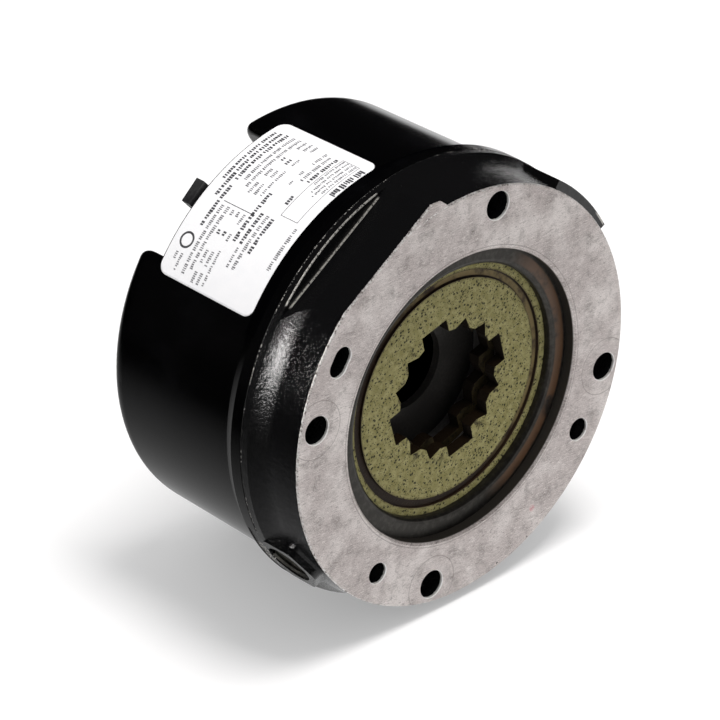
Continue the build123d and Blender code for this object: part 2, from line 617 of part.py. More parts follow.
def make_stationary_disc():
    """Steel disc between the friction discs, keyed to the housing by four ears."""
    with BuildPart() as stationary_disc:
        with BuildSketch(face_plane(STATIONARY_DEPTH)):
            Circle(PLATE_RADIUS)
            with PolarLocations((DISC_RADIUS + EAR_RADIUS) / 2, EAR_COUNT, start_angle=EAR_ANGLE):
                Rectangle(EAR_RADIUS - DISC_RADIUS, EAR_SLOT_WIDTH - 2 * EAR_PLAY)
            Circle(PLATE_BORE, mode=Mode.SUBTRACT)
        extrude(amount=-PLATE_THICKNESS)
    stationary_disc.part.label = "stationary_disc"
    return stationary_disc.part


def make_pressure_plate():
    """Plate that clamps the discs, with ears, spring wells and two stud holes."""
    with BuildPart() as pressure_plate:
        with BuildSketch(face_plane(PRESSURE_DEPTH)):
            Circle(PLATE_RADIUS)
            with PolarLocations((DISC_RADIUS + EAR_RADIUS) / 2, EAR_COUNT, start_angle=EAR_ANGLE):
                Rectangle(EAR_RADIUS - DISC_RADIUS, EAR_SLOT_WIDTH - 2 * EAR_PLAY)
            Circle(PLATE_BORE, mode=Mode.SUBTRACT)
            with Locations((-STUD_X, PULL_HEIGHT), (STUD_X, PULL_HEIGHT)):
                Circle(STUD_RADIUS, mode=Mode.SUBTRACT)
        extrude(amount=-PRESSURE_PLATE_THICKNESS)
        with BuildSketch(face_plane(PRESSURE_BACK - WELL_DEPTH)):
            with Locations(*[polar(SPRING_CIRCLE, angle) for angle in SPRING_ANGLES]):
                Circle(WELL_RADIUS)
        extrude(amount=-(WELL_DEPTH + OVERCUT), mode=Mode.SUBTRACT)
    pressure_plate.part.label = "pressure_plate"
    return pressure_plate.part


def make_pull_studs():
    """Two studs fixed in the pressure plate, each with a slotted flat tang for the yoke's nose."""
    slot_half_width = NOSE_RADIUS + RUNNING_GAP
    with BuildPart() as pull_studs:
        with BuildSketch(face_plane(PRESSURE_DEPTH + STUD_INSET)):
            with Locations((-STUD_X, PULL_HEIGHT), (STUD_X, PULL_HEIGHT)):
                Circle(STUD_RADIUS)
        extrude(amount=-(TANG_START - PRESSURE_DEPTH))
        with BuildSketch(face_plane(TANG_START)):
            with Locations((-STUD_X, PULL_HEIGHT), (STUD_X, PULL_HEIGHT)):
                Rectangle(TANG_THICKNESS, 2 * TANG_HALF_HEIGHT)
        extrude(amount=-(TANG_END - TANG_START))
        with BuildSketch(side_plane(-STUD_X - TANG_THICKNESS)):
            with Locations((PIVOT_DEPTH, PULL_HEIGHT)):
                Rectangle(2 * slot_half_width, 2 * NOSE_SLOT_HALF)
        extrude(amount=2 * (STUD_X + TANG_THICKNESS), mode=Mode.SUBTRACT)
    pull_studs.part.label = "pull_studs"
    return pull_studs.part


def make_pressure_springs():
    """Three compression springs between the pressure plate and the spring cups."""
    front = PRESSURE_BACK - WELL_DEPTH + SPRING_WIRE
    back = SUPPORT_BACK + CUP_LENGTH - SPRING_WIRE
    pitch = (back - front) / SPRING_TURNS
    with BuildPart() as pressure_springs:
        for angle in SPRING_ANGLES:
            x, z = polar(SPRING_CIRCLE, angle)
            with BuildLine() as coil:
                Helix(pitch, back - front, SPRING_RADIUS, center=(x, front, z), direction=(0, 1, 0))
            wire_plane = Plane(origin=coil.line @ 0, z_dir=coil.line % 0)
            with BuildSketch(wire_plane):
                RegularPolygon(SPRING_WIRE, 6)
            sweep(path=coil.line, is_frenet=True)
    pressure_springs.part.label = "pressure_springs"
    return pressure_springs.part


def make_spring_cups():
    """Three flanged cups that hold the rear ends of the springs."""
    with BuildPart() as spring_cups:
        with BuildSketch(face_plane(SUPPORT_BACK)):
            with Locations(*[polar(SPRING_CIRCLE, angle) for angle in SPRING_ANGLES]):
                Circle(CUP_FLANGE)
        extrude(amount=-CUP_WALL)
        with BuildSketch(face_plane(SUPPORT_BACK)):
            with Locations(*[polar(SPRING_CIRCLE, angle) for angle in SPRING_ANGLES]):
                Circle(CUP_INNER + CUP_WALL)
        extrude(amount=-(CUP_LENGTH + CUP_WALL))
        with BuildSketch(face_plane(SUPPORT_BACK)):
            with Locations(*[polar(SPRING_CIRCLE, angle) for angle in SPRING_ANGLES]):
                Circle(CUP_INNER)
        extrude(amount=-CUP_LENGTH, mode=Mode.SUBTRACT)
    spring_cups.part.label = "spring_cups"
    return spring_cups.part


def make_support_plate():
    """Plate on the three posts that carries the springs, the release parts and the solenoid."""
    bracket_screws = [(side * BRACKET_SCREW_X, z) for side in (-1, 1) for z in BRACKET_SCREW_HEIGHTS]
    with BuildPart() as support_plate:
        with BuildSketch(face_plane(SUPPORT_DEPTH)):
            Circle(SUPPORT_RADIUS)
            Circle(SHAFT_HOLE_RADIUS, mode=Mode.SUBTRACT)
            with Locations(*[polar(SPRING_CIRCLE, angle) for angle in SPRING_ANGLES]):
                Circle(CUP_INNER, mode=Mode.SUBTRACT)
            with Locations((-STUD_X, PULL_HEIGHT), (STUD_X, PULL_HEIGHT)):
                Circle(STUD_RADIUS + 2 * ASSEMBLY_GAP, mode=Mode.SUBTRACT)
            with Locations(*[polar(POST_CIRCLE_RADIUS, angle) for angle in POST_ANGLES]):
                Circle(SUPPORT_SCREW_RADIUS + BOLT_PLAY, mode=Mode.SUBTRACT)
            with Locations(*bracket_screws):
                Circle(SMALL_SHANK_RADIUS, mode=Mode.SUBTRACT)
            with Locations(
                (-BRACKET_SCREW_SPREAD, BRACKET_SCREW_Z), (BRACKET_SCREW_SPREAD, BRACKET_SCREW_Z)
            ):
                Circle(SMALL_SHANK_RADIUS, mode=Mode.SUBTRACT)
            with Locations(
                polar(COVER_SCREW_CIRCLE, EAR_ANGLE), polar(COVER_SCREW_CIRCLE, EAR_ANGLE + 180)
            ):
                Circle(COVER_SCREW_RADIUS, mode=Mode.SUBTRACT)
        extrude(amount=-SUPPORT_THICKNESS)
    support_plate.part.label = "support_plate"
    return support_plate.part


def make_support_screws():
    """Three socket screws from the support plate into the posts."""
    places = [polar(POST_CIRCLE_RADIUS, angle) for angle in POST_ANGLES]
    with BuildPart() as support_screws:
        with BuildSketch(face_plane(HOLE_FLOOR_DEPTH + ASSEMBLY_GAP)):
            with Locations(*places):
                Circle(SUPPORT_SCREW_RADIUS)
        extrude(amount=-(SUPPORT_BACK - HOLE_FLOOR_DEPTH))
        with BuildSketch(face_plane(SUPPORT_BACK)):
            with Locations(*places):
                Circle(SCREW_HEAD_RADIUS)
        extrude(amount=-SCREW_HEAD_HEIGHT)
        with BuildSketch(face_plane(SUPPORT_BACK + SCREW_HEAD_HEIGHT / 2)):
            with Locations(*places):
                RegularPolygon(HEX_KEY_RADIUS, 6)
        extrude(amount=-SCREW_HEAD_HEIGHT, mode=Mode.SUBTRACT)
    support_screws.part.label = "support_screws"
    return support_screws.part


def make_release_yoke():
    """Bell crank: two arms with pulling noses, a web across and a tongue to the plunger."""
    with BuildPart() as release_yoke:
        with BuildSketch(side_plane(-ARM_OUTER)):
            with Locations(((ARM_FRONT + WEB_END) / 2, (ARM_BOTTOM + ARM_TOP) / 2)):
                RectangleRounded(WEB_END - ARM_FRONT, ARM_TOP - ARM_BOTTOM, ARM_CORNER)
        extrude(amount=2 * ARM_OUTER)
        with BuildSketch(face_plane(ARM_FRONT - OVERCUT)):
            with Locations((0, (ARM_BOTTOM + ARM_TOP) / 2)):
                Rectangle(2 * ARM_INNER, ARM_TOP - ARM_BOTTOM + 2 * OVERCUT)
        extrude(amount=-(WEB_START - ARM_FRONT + OVERCUT), mode=Mode.SUBTRACT)
        with BuildSketch(side_plane(-ARM_OUTER)):
            with Locations((PIVOT_DEPTH, PIVOT_HEIGHT)):
                Circle(PIVOT_PIN_RADIUS + RUNNING_GAP)
        extrude(amount=2 * ARM_OUTER, mode=Mode.SUBTRACT)
        with BuildSketch(side_plane(-TONGUE_HALF)):
            with Locations((PLUNGER_PIN_DEPTH, PIVOT_HEIGHT)):
                Circle(TONGUE_RADIUS)
            with Locations(((WEB_START + PLUNGER_PIN_DEPTH) / 2, PIVOT_HEIGHT)):
                Rectangle(PLUNGER_PIN_DEPTH - WEB_START, 2 * TONGUE_RADIUS)
            with Locations((PLUNGER_PIN_DEPTH, PIVOT_HEIGHT)):
                Circle(PIN_RADIUS, mode=Mode.SUBTRACT)
        extrude(amount=2 * TONGUE_HALF)
        for side in (-1, 1):
            with BuildSketch(side_plane(side * ARM_INNER)):
                with Locations((PIVOT_DEPTH, PULL_HEIGHT)):
                    Circle(NOSE_RADIUS)
            extrude(amount=-side * (ARM_INNER - STUD_X + TANG_THICKNESS))
    release_yoke.part.label = "release_yoke"
    return release_yoke.part


def make_pivot_brackets():
    """Two angle brackets on the support plate that carry the yoke's pivots."""
    foot_middle = (BRACKET_INNER + BRACKET_FOOT_END) / 2
    height_middle = (BRACKET_BOTTOM + BRACKET_TOP) / 2
    with BuildPart() as pivot_brackets:
        with BuildSketch(face_plane(SUPPORT_BACK)):
            with Locations((-foot_middle, height_middle), (foot_middle, height_middle)):
                Rectangle(BRACKET_FOOT_END - BRACKET_INNER, BRACKET_TOP - BRACKET_BOTTOM)
            for side in (-1, 1):
                with Locations(*[(side * BRACKET_SCREW_X, z) for z in BRACKET_SCREW_HEIGHTS]):
                    Circle(SMALL_SHANK_RADIUS + BOLT_PLAY, mode=Mode.SUBTRACT)
        extrude(amount=-BRACKET_WALL)
        for side in (-1, 1):
            with BuildSketch(side_plane(side * BRACKET_INNER)):
                with Locations(((SUPPORT_BACK + BRACKET_REAR) / 2, height_middle)):
                    Rectangle(BRACKET_REAR - SUPPORT_BACK, BRACKET_TOP - BRACKET_BOTTOM)
                with Locations((PIVOT_DEPTH, PIVOT_HEIGHT)):
                    Circle(PIVOT_PIN_RADIUS, mode=Mode.SUBTRACT)
            extrude(amount=side * BRACKET_WALL)
    pivot_brackets.part.label = "pivot_brackets"
    return pivot_brackets.part


def make_pivot_pins():
    """Two headed pins that the yoke turns on."""
    head = BRACKET_INNER + BRACKET_WALL
    with BuildPart() as pivot_pins:
        for side in (-1, 1):
            with BuildSketch(side_plane(side * (ARM_INNER + FACE_GAP))):
                with Locations((PIVOT_DEPTH, PIVOT_HEIGHT)):
                    Circle(PIVOT_PIN_RADIUS)
            extrude(amount=side * (head - ARM_INNER))
            with BuildSketch(side_plane(side * head)):
                with Locations((PIVOT_DEPTH, PIVOT_HEIGHT)):
                    Circle(PIVOT_PIN_RADIUS + PIN_HEAD_STEP)
            extrude(amount=side * PIN_HEAD_LENGTH)
    pivot_pins.part.label = "pivot_pins"
    return pivot_pins.part


def make_pivot_screws():
    """Four screws that hold the pivot brackets."""
    places = [(side * BRACKET_SCREW_X, z) for side in (-1, 1) for z in BRACKET_SCREW_HEIGHTS]
    with BuildPart() as pivot_screws:
        with BuildSketch(face_plane(SUPPORT_DEPTH)):
            with Locations(*places):
                Circle(SMALL_SHANK_RADIUS)
        extrude(amount=-(SUPPORT_THICKNESS + BRACKET_WALL))
        with BuildSketch(face_plane(SUPPORT_BACK + BRACKET_WALL)):
            with Locations(*places):
                Circle(SMALL_HEAD_RADIUS)
        extrude(amount=-SMALL_HEAD_HEIGHT)
    pivot_screws.part.label = "pivot_screws"
    return pivot_screws.part


def make_plunger():
    """Laminated T-shaped core with a clevis that holds the yoke's tongue."""
    ear_middle = (EAR_INNER + EAR_OUTER) / 2
    with BuildPart() as plunger:
        with BuildSketch(level_plane(HEAD_BOTTOM)):
            with Locations((0, SOLENOID_MIDDLE)):
                Rectangle(2 * SOLENOID_HALF_WIDTH, SOLENOID_BACK - SOLENOID_FRONT)
        extrude(amount=HEAD_TOP - HEAD_BOTTOM)
        with BuildSketch(level_plane(STEM_BOTTOM)):
            with Locations((0, SOLENOID_MIDDLE)):
                Rectangle(2 * STEM_HALF_X, 2 * STEM_HALF_Y)
        extrude(amount=HEAD_BOTTOM - STEM_BOTTOM)
        with BuildSketch(level_plane(HEAD_TOP)):
            with Locations((-ear_middle, PLUNGER_PIN_DEPTH), (ear_middle, PLUNGER_PIN_DEPTH)):
                Rectangle(EAR_OUTER - EAR_INNER, 2 * EAR_HALF_DEPTH)
        extrude(amount=EAR_TOP - HEAD_TOP)
        with BuildSketch(side_plane(-EAR_OUTER)):
            with Locations((PLUNGER_PIN_DEPTH - PIN_SWING / 2, PIVOT_HEIGHT)):
                SlotOverall(2 * SLOT_RADIUS + PIN_SWING, 2 * SLOT_RADIUS)
        extrude(amount=2 * EAR_OUTER, mode=Mode.SUBTRACT)
    plunger.part.label = "plunger"
    return plunger.part


def make_plunger_pin():
    """Pin through the yoke's tongue and the plunger's clevis."""
    half_length = EAR_OUTER + PIN_OVERHANG
    with BuildPart() as plunger_pin:
        with BuildSketch(side_plane(-half_length)):
            with Locations((PLUNGER_PIN_DEPTH, PIVOT_HEIGHT)):
                Circle(PIN_RADIUS)
        extrude(amount=2 * half_length)
    plunger_pin.part.label = "plunger_pin"
    return plunger_pin.part


def make_solenoid_frame():
    """Laminated U-frame with the fixed pole."""
    leg_middle = SOLENOID_HALF_WIDTH - SOLENOID_LEG / 2
    depth = SOLENOID_BACK - SOLENOID_FRONT
    with BuildPart() as solenoid_frame:
        with BuildSketch(level_plane(SOLENOID_BOTTOM)):
            with Locations((0, SOLENOID_MIDDLE)):
                Rectangle(2 * SOLENOID_HALF_WIDTH, depth)
        extrude(amount=SOLENOID_BASE_TOP - SOLENOID_BOTTOM)
        with BuildSketch(level_plane(SOLENOID_BASE_TOP)):
            with Locations((-leg_middle, SOLENOID_MIDDLE), (leg_middle, SOLENOID_MIDDLE)):
                Rectangle(SOLENOID_LEG, depth)
        extrude(amount=SOLENOID_TOP - SOLENOID_BASE_TOP)
        with BuildSketch(level_plane(SOLENOID_BASE_TOP)):
            with Locations((0, SOLENOID_MIDDLE)):
                Rectangle(2 * STEM_HALF_X, 2 * STEM_HALF_Y)
        extrude(amount=POLE_TOP - SOLENOID_BASE_TOP)
        with BuildSketch(level_plane(SOLENOID_BOTTOM)):
            with Locations(
                (-SOLENOID_SCREW_SPREAD, SOLENOID_MIDDLE), (SOLENOID_SCREW_SPREAD, SOLENOID_MIDDLE)
            ):
                Circle(SMALL_SHANK_RADIUS)
        extrude(amount=SOLENOID_LEG, mode=Mode.SUBTRACT)
    solenoid_frame.part.label = "solenoid_frame"
    return solenoid_frame.part


def make_solenoid_coil():
    """Wound coil on a flanged bobbin."""
    with BuildPart() as solenoid_coil:
        with BuildSketch(level_plane(COIL_BOTTOM)):
            with Locations((0, SOLENOID_MIDDLE)):
                Rectangle(2 * COIL_HALF_X, 2 * COIL_HALF_Y)
        extrude(amount=BOBBIN_FLANGE)
        with BuildSketch(level_plane(COIL_TOP - BOBBIN_FLANGE)):
            with Locations((0, SOLENOID_MIDDLE)):
                Rectangle(2 * COIL_HALF_X, 2 * COIL_HALF_Y)
        extrude(amount=BOBBIN_FLANGE)
        with BuildSketch(level_plane(COIL_BOTTOM)):
            with Locations((0, SOLENOID_MIDDLE)):
                RectangleRounded(
                    2 * (COIL_HALF_X - BOBBIN_RIM), 2 * (COIL_HALF_Y - BOBBIN_RIM), COIL_CORNER
                )
        extrude(amount=COIL_TOP - COIL_BOTTOM)
        with BuildSketch(level_plane(COIL_BOTTOM)):
            with Locations((0, SOLENOID_MIDDLE)):
                Rectangle(2 * (STEM_HALF_X + COIL_CLEARANCE), 2 * (STEM_HALF_Y + COIL_CLEARANCE))
        extrude(amount=COIL_TOP - COIL_BOTTOM, mode=Mode.SUBTRACT)
    solenoid_coil.part.label = "solenoid_coil"
    return solenoid_coil.part


def make_solenoid_bracket():
    """Angle that holds the solenoid behind the support plate."""
    shelf_bottom = SOLENOID_BOTTOM - SHELF_THICKNESS
    with BuildPart() as solenoid_bracket:
        with BuildSketch(side_plane(-SOLENOID_HALF_WIDTH)):
            with BuildLine():
                Polyline(
                    (SUPPORT_BACK, shelf_bottom),
                    (SOLENOID_BACK, shelf_bottom),
                    (SOLENOID_BACK, SOLENOID_BOTTOM),
                    (SUPPORT_BACK + SHELF_THICKNESS, SOLENOID_BOTTOM),
                    (SUPPORT_BACK + SHELF_THICKNESS, SHELF_TOP_FLANGE),
                    (SUPPORT_BACK, SHELF_TOP_FLANGE),
                    close=True,
                )
            make_face()
        extrude(amount=2 * SOLENOID_HALF_WIDTH)
        with BuildSketch(face_plane(SUPPORT_BACK - OVERCUT)):
            with Locations(
                (-BRACKET_SCREW_SPREAD, BRACKET_SCREW_Z), (BRACKET_SCREW_SPREAD, BRACKET_SCREW_Z)
            ):
                Circle(SMALL_SHANK_RADIUS + BOLT_PLAY)
        extrude(amount=-(SHELF_THICKNESS + 2 * OVERCUT), mode=Mode.SUBTRACT)
        with BuildSketch(level_plane(shelf_bottom - OVERCUT)):
            with Locations(
                (-SOLENOID_SCREW_SPREAD, SOLENOID_MIDDLE), (SOLENOID_SCREW_SPREAD, SOLENOID_MIDDLE)
            ):
                Circle(SMALL_SHANK_RADIUS + BOLT_PLAY)
        extrude(amount=SHELF_THICKNESS + 2 * OVERCUT, mode=Mode.SUBTRACT)
    solenoid_bracket.part.label = "solenoid_bracket"
    return solenoid_bracket.part


def make_bracket_screws():
    """Two screws that hold the solenoid bracket to the support plate."""
    places = ((-BRACKET_SCREW_SPREAD, BRACKET_SCREW_Z), (BRACKET_SCREW_SPREAD, BRACKET_SCREW_Z))
    with BuildPart() as bracket_screws:
        with BuildSketch(face_plane(SUPPORT_DEPTH)):
            with Locations(*places):
                Circle(SMALL_SHANK_RADIUS)
        extrude(amount=-(SUPPORT_THICKNESS + SHELF_THICKNESS))
        with BuildSketch(face_plane(SUPPORT_BACK + SHELF_THICKNESS)):
            with Locations(*places):
                Circle(SMALL_HEAD_RADIUS)
        extrude(amount=-SMALL_HEAD_HEIGHT)
    bracket_screws.part.label = "bracket_screws"
    return bracket_screws.part


def make_solenoid_screws():
    """Two screws from below the shelf into the solenoid frame."""
    shelf_bottom = SOLENOID_BOTTOM - SHELF_THICKNESS
    places = ((-SOLENOID_SCREW_SPREAD, SOLENOID_MIDDLE), (SOLENOID_SCREW_SPREAD, SOLENOID_MIDDLE))
    with BuildPart() as solenoid_screws:
        with BuildSketch(level_plane(shelf_bottom - SMALL_HEAD_HEIGHT)):
            with Locations(*places):
                Circle(SMALL_HEAD_RADIUS)
        extrude(amount=SMALL_HEAD_HEIGHT)
        with BuildSketch(level_plane(shelf_bottom)):
            with Locations(*places):
                Circle(SMALL_SHANK_RADIUS)
        extrude(amount=SHELF_THICKNESS + SOLENOID_LEG - SCREW_TIP_ROOM)
    solenoid_screws.part.label = "solenoid_screws"
    return solenoid_screws.part


def make_release_shaft():
    """Manual release shaft with a collar, an inner finger and a reduced outer end."""
    collar_front = BUSH_FRONT - FACE_GAP - COLLAR_LENGTH
    with BuildPart() as release_shaft:
        with BuildSketch(face_plane(FINGER_FRONT)):
            with Locations((FINGER_LENGTH / 2, RELEASE_HEIGHT)):
                Rectangle(FINGER_LENGTH, 2 * FINGER_HALF)
            with Locations((0, RELEASE_HEIGHT)):
                Circle(RELEASE_SHAFT_RADIUS + FINGER_HUB_STEP)
        extrude(amount=-(FINGER_BACK - FINGER_FRONT))
        with BuildSketch(face_plane(FINGER_BACK)):
            with Locations((0, RELEASE_HEIGHT)):
                Circle(RELEASE_SHAFT_RADIUS)
        extrude(amount=-(LEVER_FRONT - FINGER_BACK))
        with BuildSketch(face_plane(collar_front)):
            with Locations((0, RELEASE_HEIGHT)):
                Circle(COLLAR_RADIUS)
        extrude(amount=-COLLAR_LENGTH)
        with BuildSketch(face_plane(LEVER_FRONT)):
            with Locations((0, RELEASE_HEIGHT)):
                Circle(RELEASE_STUD_RADIUS)
        extrude(amount=-(LEVER_THICKNESS + NUT_HEIGHT + STUD_TIP))
    release_shaft.part.label = "release_shaft"
    return release_shaft.part


def make_release_bush():
    """Flanged bush in the channel floor."""
    with BuildPart() as release_bush:
        with BuildSketch(face_plane(BUSH_FRONT)):
            with Locations((0, RELEASE_HEIGHT)):
                Circle(BUSH_RADIUS)
        extrude(amount=-(CHANNEL_FLOOR + BUSH_FLANGE - BUSH_FRONT))
        with BuildSketch(face_plane(CHANNEL_FLOOR)):
            with Locations((0, RELEASE_HEIGHT)):
                Circle(BUSH_FLANGE_RADIUS)
        extrude(amount=-BUSH_FLANGE)
        with BuildSketch(face_plane(BUSH_FRONT - OVERCUT)):
            with Locations((0, RELEASE_HEIGHT)):
                Circle(RELEASE_SHAFT_RADIUS + RUNNING_GAP)
        extrude(amount=-(CHANNEL_FLOOR + BUSH_FLANGE - BUSH_FRONT + 2 * OVERCUT), mode=Mode.SUBTRACT)
    release_bush.part.label = "release_bush"
    return release_bush.part


def make_release_lever():
    """Flat lever in the cover's channel, from the shaft to just past the cover's side."""
    end_x, end_z = polar(LEVER_END_RADIUS, LEVER_END_ANGLE)
    length = math.hypot(end_x, end_z - RELEASE_HEIGHT)
    direction = math.degrees(math.atan2(end_z - RELEASE_HEIGHT, end_x))
    with BuildPart() as release_lever:
        with BuildSketch(face_plane(LEVER_FRONT)):
            with Locations(Location((end_x / 2, (end_z + RELEASE_HEIGHT) / 2, 0), (0, 0, direction))):
                Rectangle(length, LEVER_WIDTH)
            with Locations((0, RELEASE_HEIGHT)):
                Circle(RELEASE_STUD_RADIUS + LEVER_EYE_WALL)
                Circle(RELEASE_STUD_RADIUS, mode=Mode.SUBTRACT)
        extrude(amount=-LEVER_THICKNESS)
    release_lever.part.label = "release_lever"
    return release_lever.part


def make_release_nut():
    """Hexagon nut on the release shaft."""
    with BuildPart() as release_nut:
        with BuildSketch(face_plane(LEVER_FRONT + LEVER_THICKNESS)):
            with Locations((0, RELEASE_HEIGHT)):
                RegularPolygon(NUT_FLAT, 6, major_radius=False)
                Circle(RELEASE_STUD_RADIUS, mode=Mode.SUBTRACT)
        extrude(amount=-NUT_HEIGHT)
    release_nut.part.label = "release_nut"
    return release_nut.part


def make_cover():
    """Bell cover with a flared lip, and a channel for the release lever across its back."""
    channel_end = LIP_RADIUS + BACK_EDGE
    channel_cut = BACK_DEPTH - CHANNEL_FLOOR + OVERCUT
    channel_middle = polar((CHANNEL_START + channel_end) / 2, CHANNEL_ANGLE)
    inner_start = CHANNEL_START - COVER_WALL
    inner_middle = polar((inner_start + channel_end) / 2, CHANNEL_ANGLE)
    with BuildPart() as core:
        with BuildSketch(Plane.XY):
            with BuildLine():
                Polyline(
                    (0, COVER_FRONT),
                    (CORE_RADIUS, COVER_FRONT),
                    (CORE_RADIUS, BODY_START),
                    (CORE_BACK_RADIUS, BACK_DEPTH - BACK_EDGE),
                    (CORE_BACK_RADIUS - BACK_EDGE + COVER_WALL, BACK_DEPTH - COVER_WALL),
                    (0, BACK_DEPTH - COVER_WALL),
                    close=True,
                )
            make_face()
        revolve(axis=Axis.Y)
        with BuildSketch(face_plane(CHANNEL_FLOOR - COVER_WALL)):
            with Locations(Location((*inner_middle, 0), (0, 0, CHANNEL_ANGLE))):
                Rectangle(channel_end - inner_start, 2 * (CHANNEL_HALF_WIDTH + COVER_WALL))
        extrude(amount=-(channel_cut + COVER_WALL), mode=Mode.SUBTRACT)
    with BuildPart() as cover:
        with BuildSketch(Plane.XY):
            with BuildLine():
                Polyline(
                    (0, BACK_DEPTH),
                    (0, COVER_FRONT),
                    (LIP_RADIUS, COVER_FRONT),
                    (LIP_RADIUS, LIP_DEPTH),
                    (LIP_SHOULDER_RADIUS, LIP_SHOULDER_DEPTH),
                    (BODY_RADIUS, BODY_START),
                    (BACK_RADIUS, BACK_DEPTH - BACK_EDGE),
                )
                RadiusArc(
                    (BACK_RADIUS, BACK_DEPTH - BACK_EDGE),
                    (BACK_RADIUS - BACK_EDGE, BACK_DEPTH),
                    -BACK_EDGE,
                )
                Line((BACK_RADIUS - BACK_EDGE, BACK_DEPTH), (0, BACK_DEPTH))
            make_face()
        revolve(axis=Axis.Y)
        with BuildSketch(face_plane(CHANNEL_FLOOR)) as channel:
            with Locations(Location((*channel_middle, 0), (0, 0, CHANNEL_ANGLE))):
                Rectangle(channel_end - CHANNEL_START, 2 * CHANNEL_HALF_WIDTH)
            inner_corners = channel.vertices().sort_by(SortBy.DISTANCE)[:2]
            fillet(inner_corners, radius=CHANNEL_CORNER)
        extrude(amount=-channel_cut, mode=Mode.SUBTRACT)
        rims = [
            edge
            for edge in cover.edges()
            if edge.center().Y > CHANNEL_FLOOR + CHANNEL_DEPTH / 2 + LOBE_EDGE
            and edge.length > LOBE_EDGE
            and math.hypot(edge.center().X, edge.center().Z) < BACK_RADIUS - OVERCUT
        ]
        fillet(rims, radius=LOBE_EDGE)
        add(core.part, mode=Mode.SUBTRACT)
        with BuildSketch(face_plane(CHANNEL_FLOOR - COVER_WALL - OVERCUT)):
            with Locations((0, RELEASE_HEIGHT)):
                Circle(BUSH_RADIUS)
        extrude(amount=-(COVER_WALL + 2 * OVERCUT), mode=Mode.SUBTRACT)
        with BuildSketch(face_plane(BACK_DEPTH - COVER_WALL - OVERCUT)):
            with Locations(
                polar(COVER_SCREW_CIRCLE, EAR_ANGLE), polar(COVER_SCREW_CIRCLE, EAR_ANGLE + 180)
            ):
                Circle(COVER_SCREW_RADIUS + BOLT_PLAY)
        extrude(amount=-(COVER_WALL + 2 * OVERCUT), mode=Mode.SUBTRACT)
        with BuildSketch(radial_plane(CONDUIT_ANGLE, CORE_RADIUS - COVER_WALL, COVER_FRONT)):
            Rectangle(
                2 * (CONDUIT_NOTCH_HALF_WIDTH + ASSEMBLY_GAP),
                2 * (CONDUIT_BACK + ASSEMBLY_GAP - COVER_FRONT),
            )
        extrude(amount=LIP_RADIUS - CORE_RADIUS + 2 * COVER_WALL, mode=Mode.SUBTRACT)
    cover.part.label = "cover"
    return cover.part


def make_cover_gasket():
    """Thin joint between the endplate and the cover, open at the conduit boss."""
    with BuildPart() as cover_gasket:
        with BuildSketch(face_plane(JOINT_DEPTH)):
            Circle(RIM_RADIUS - GASKET_INSET)
            Circle(CORE_RADIUS, mode=Mode.SUBTRACT)
            with Locations(Location((*polar(CORE_RADIUS, CONDUIT_ANGLE), 0), (0, 0, CONDUIT_ANGLE))):
                Rectangle(
                    2 * (RIM_RADIUS - CORE_RADIUS + COVER_WALL),
                    2 * (CONDUIT_NOTCH_HALF_WIDTH + ASSEMBLY_GAP),
                    mode=Mode.SUBTRACT,
                )
        extrude(amount=-GASKET_THICKNESS)
    cover_gasket.part.label = "cover_gasket"
    return cover_gasket.part


def make_cover_screws():
    """Two long screws from the cover's back to the support plate."""
    places = (polar(COVER_SCREW_CIRCLE, EAR_ANGLE), polar(COVER_SCREW_CIRCLE, EAR_ANGLE + 180))
    with BuildPart() as cover_screws:
        with BuildSketch(face_plane(SUPPORT_DEPTH)):
            with Locations(*places):
                Circle(COVER_SCREW_RADIUS)
        extrude(amount=-(BACK_DEPTH - SUPPORT_DEPTH))
        with BuildSketch(face_plane(BACK_DEPTH)):
            with Locations(*places):
                Circle(COVER_HEAD_RADIUS)
        extrude(amount=-COVER_HEAD_HEIGHT)
        with BuildSketch(face_plane(BACK_DEPTH + COVER_HEAD_HEIGHT / 2)):
            with Locations(*places):
                RegularPolygon(HEX_KEY_RADIUS, 6)
        extrude(amount=-COVER_HEAD_HEIGHT, mode=Mode.SUBTRACT)
    cover_screws.part.label = "cover_screws"
    return cover_screws.part


def make_label():
    """Plain sticker that follows the side of the cover."""
    slope = (BODY_RADIUS - BACK_RADIUS) / (BACK_DEPTH - BACK_EDGE - BODY_START)
    front_radius = BODY_RADIUS + LABEL_LIFT - slope * (LABEL_START - BODY_START)
    back_radius = BODY_RADIUS + LABEL_LIFT - slope * (LABEL_END - BODY_START)
    with BuildPart() as label:
        with BuildSketch(Plane.XY.rotated((0, -LABEL_FROM_ANGLE, 0))):
            with BuildLine():
                Polyline(
                    (front_radius, LABEL_START),
                    (front_radius + LABEL_THICKNESS, LABEL_START),
                    (back_radius + LABEL_THICKNESS, LABEL_END),
                    (back_radius, LABEL_END),
                    close=True,
                )
            make_face()
        revolve(axis=Axis.Y, revolution_arc=-LABEL_SWEEP)
        corners = [edge for edge in label.edges() if edge.length < 2 * LABEL_THICKNESS]
        fillet(corners, radius=LABEL_CORNER)
    label.part.label = "label"
    return label.part


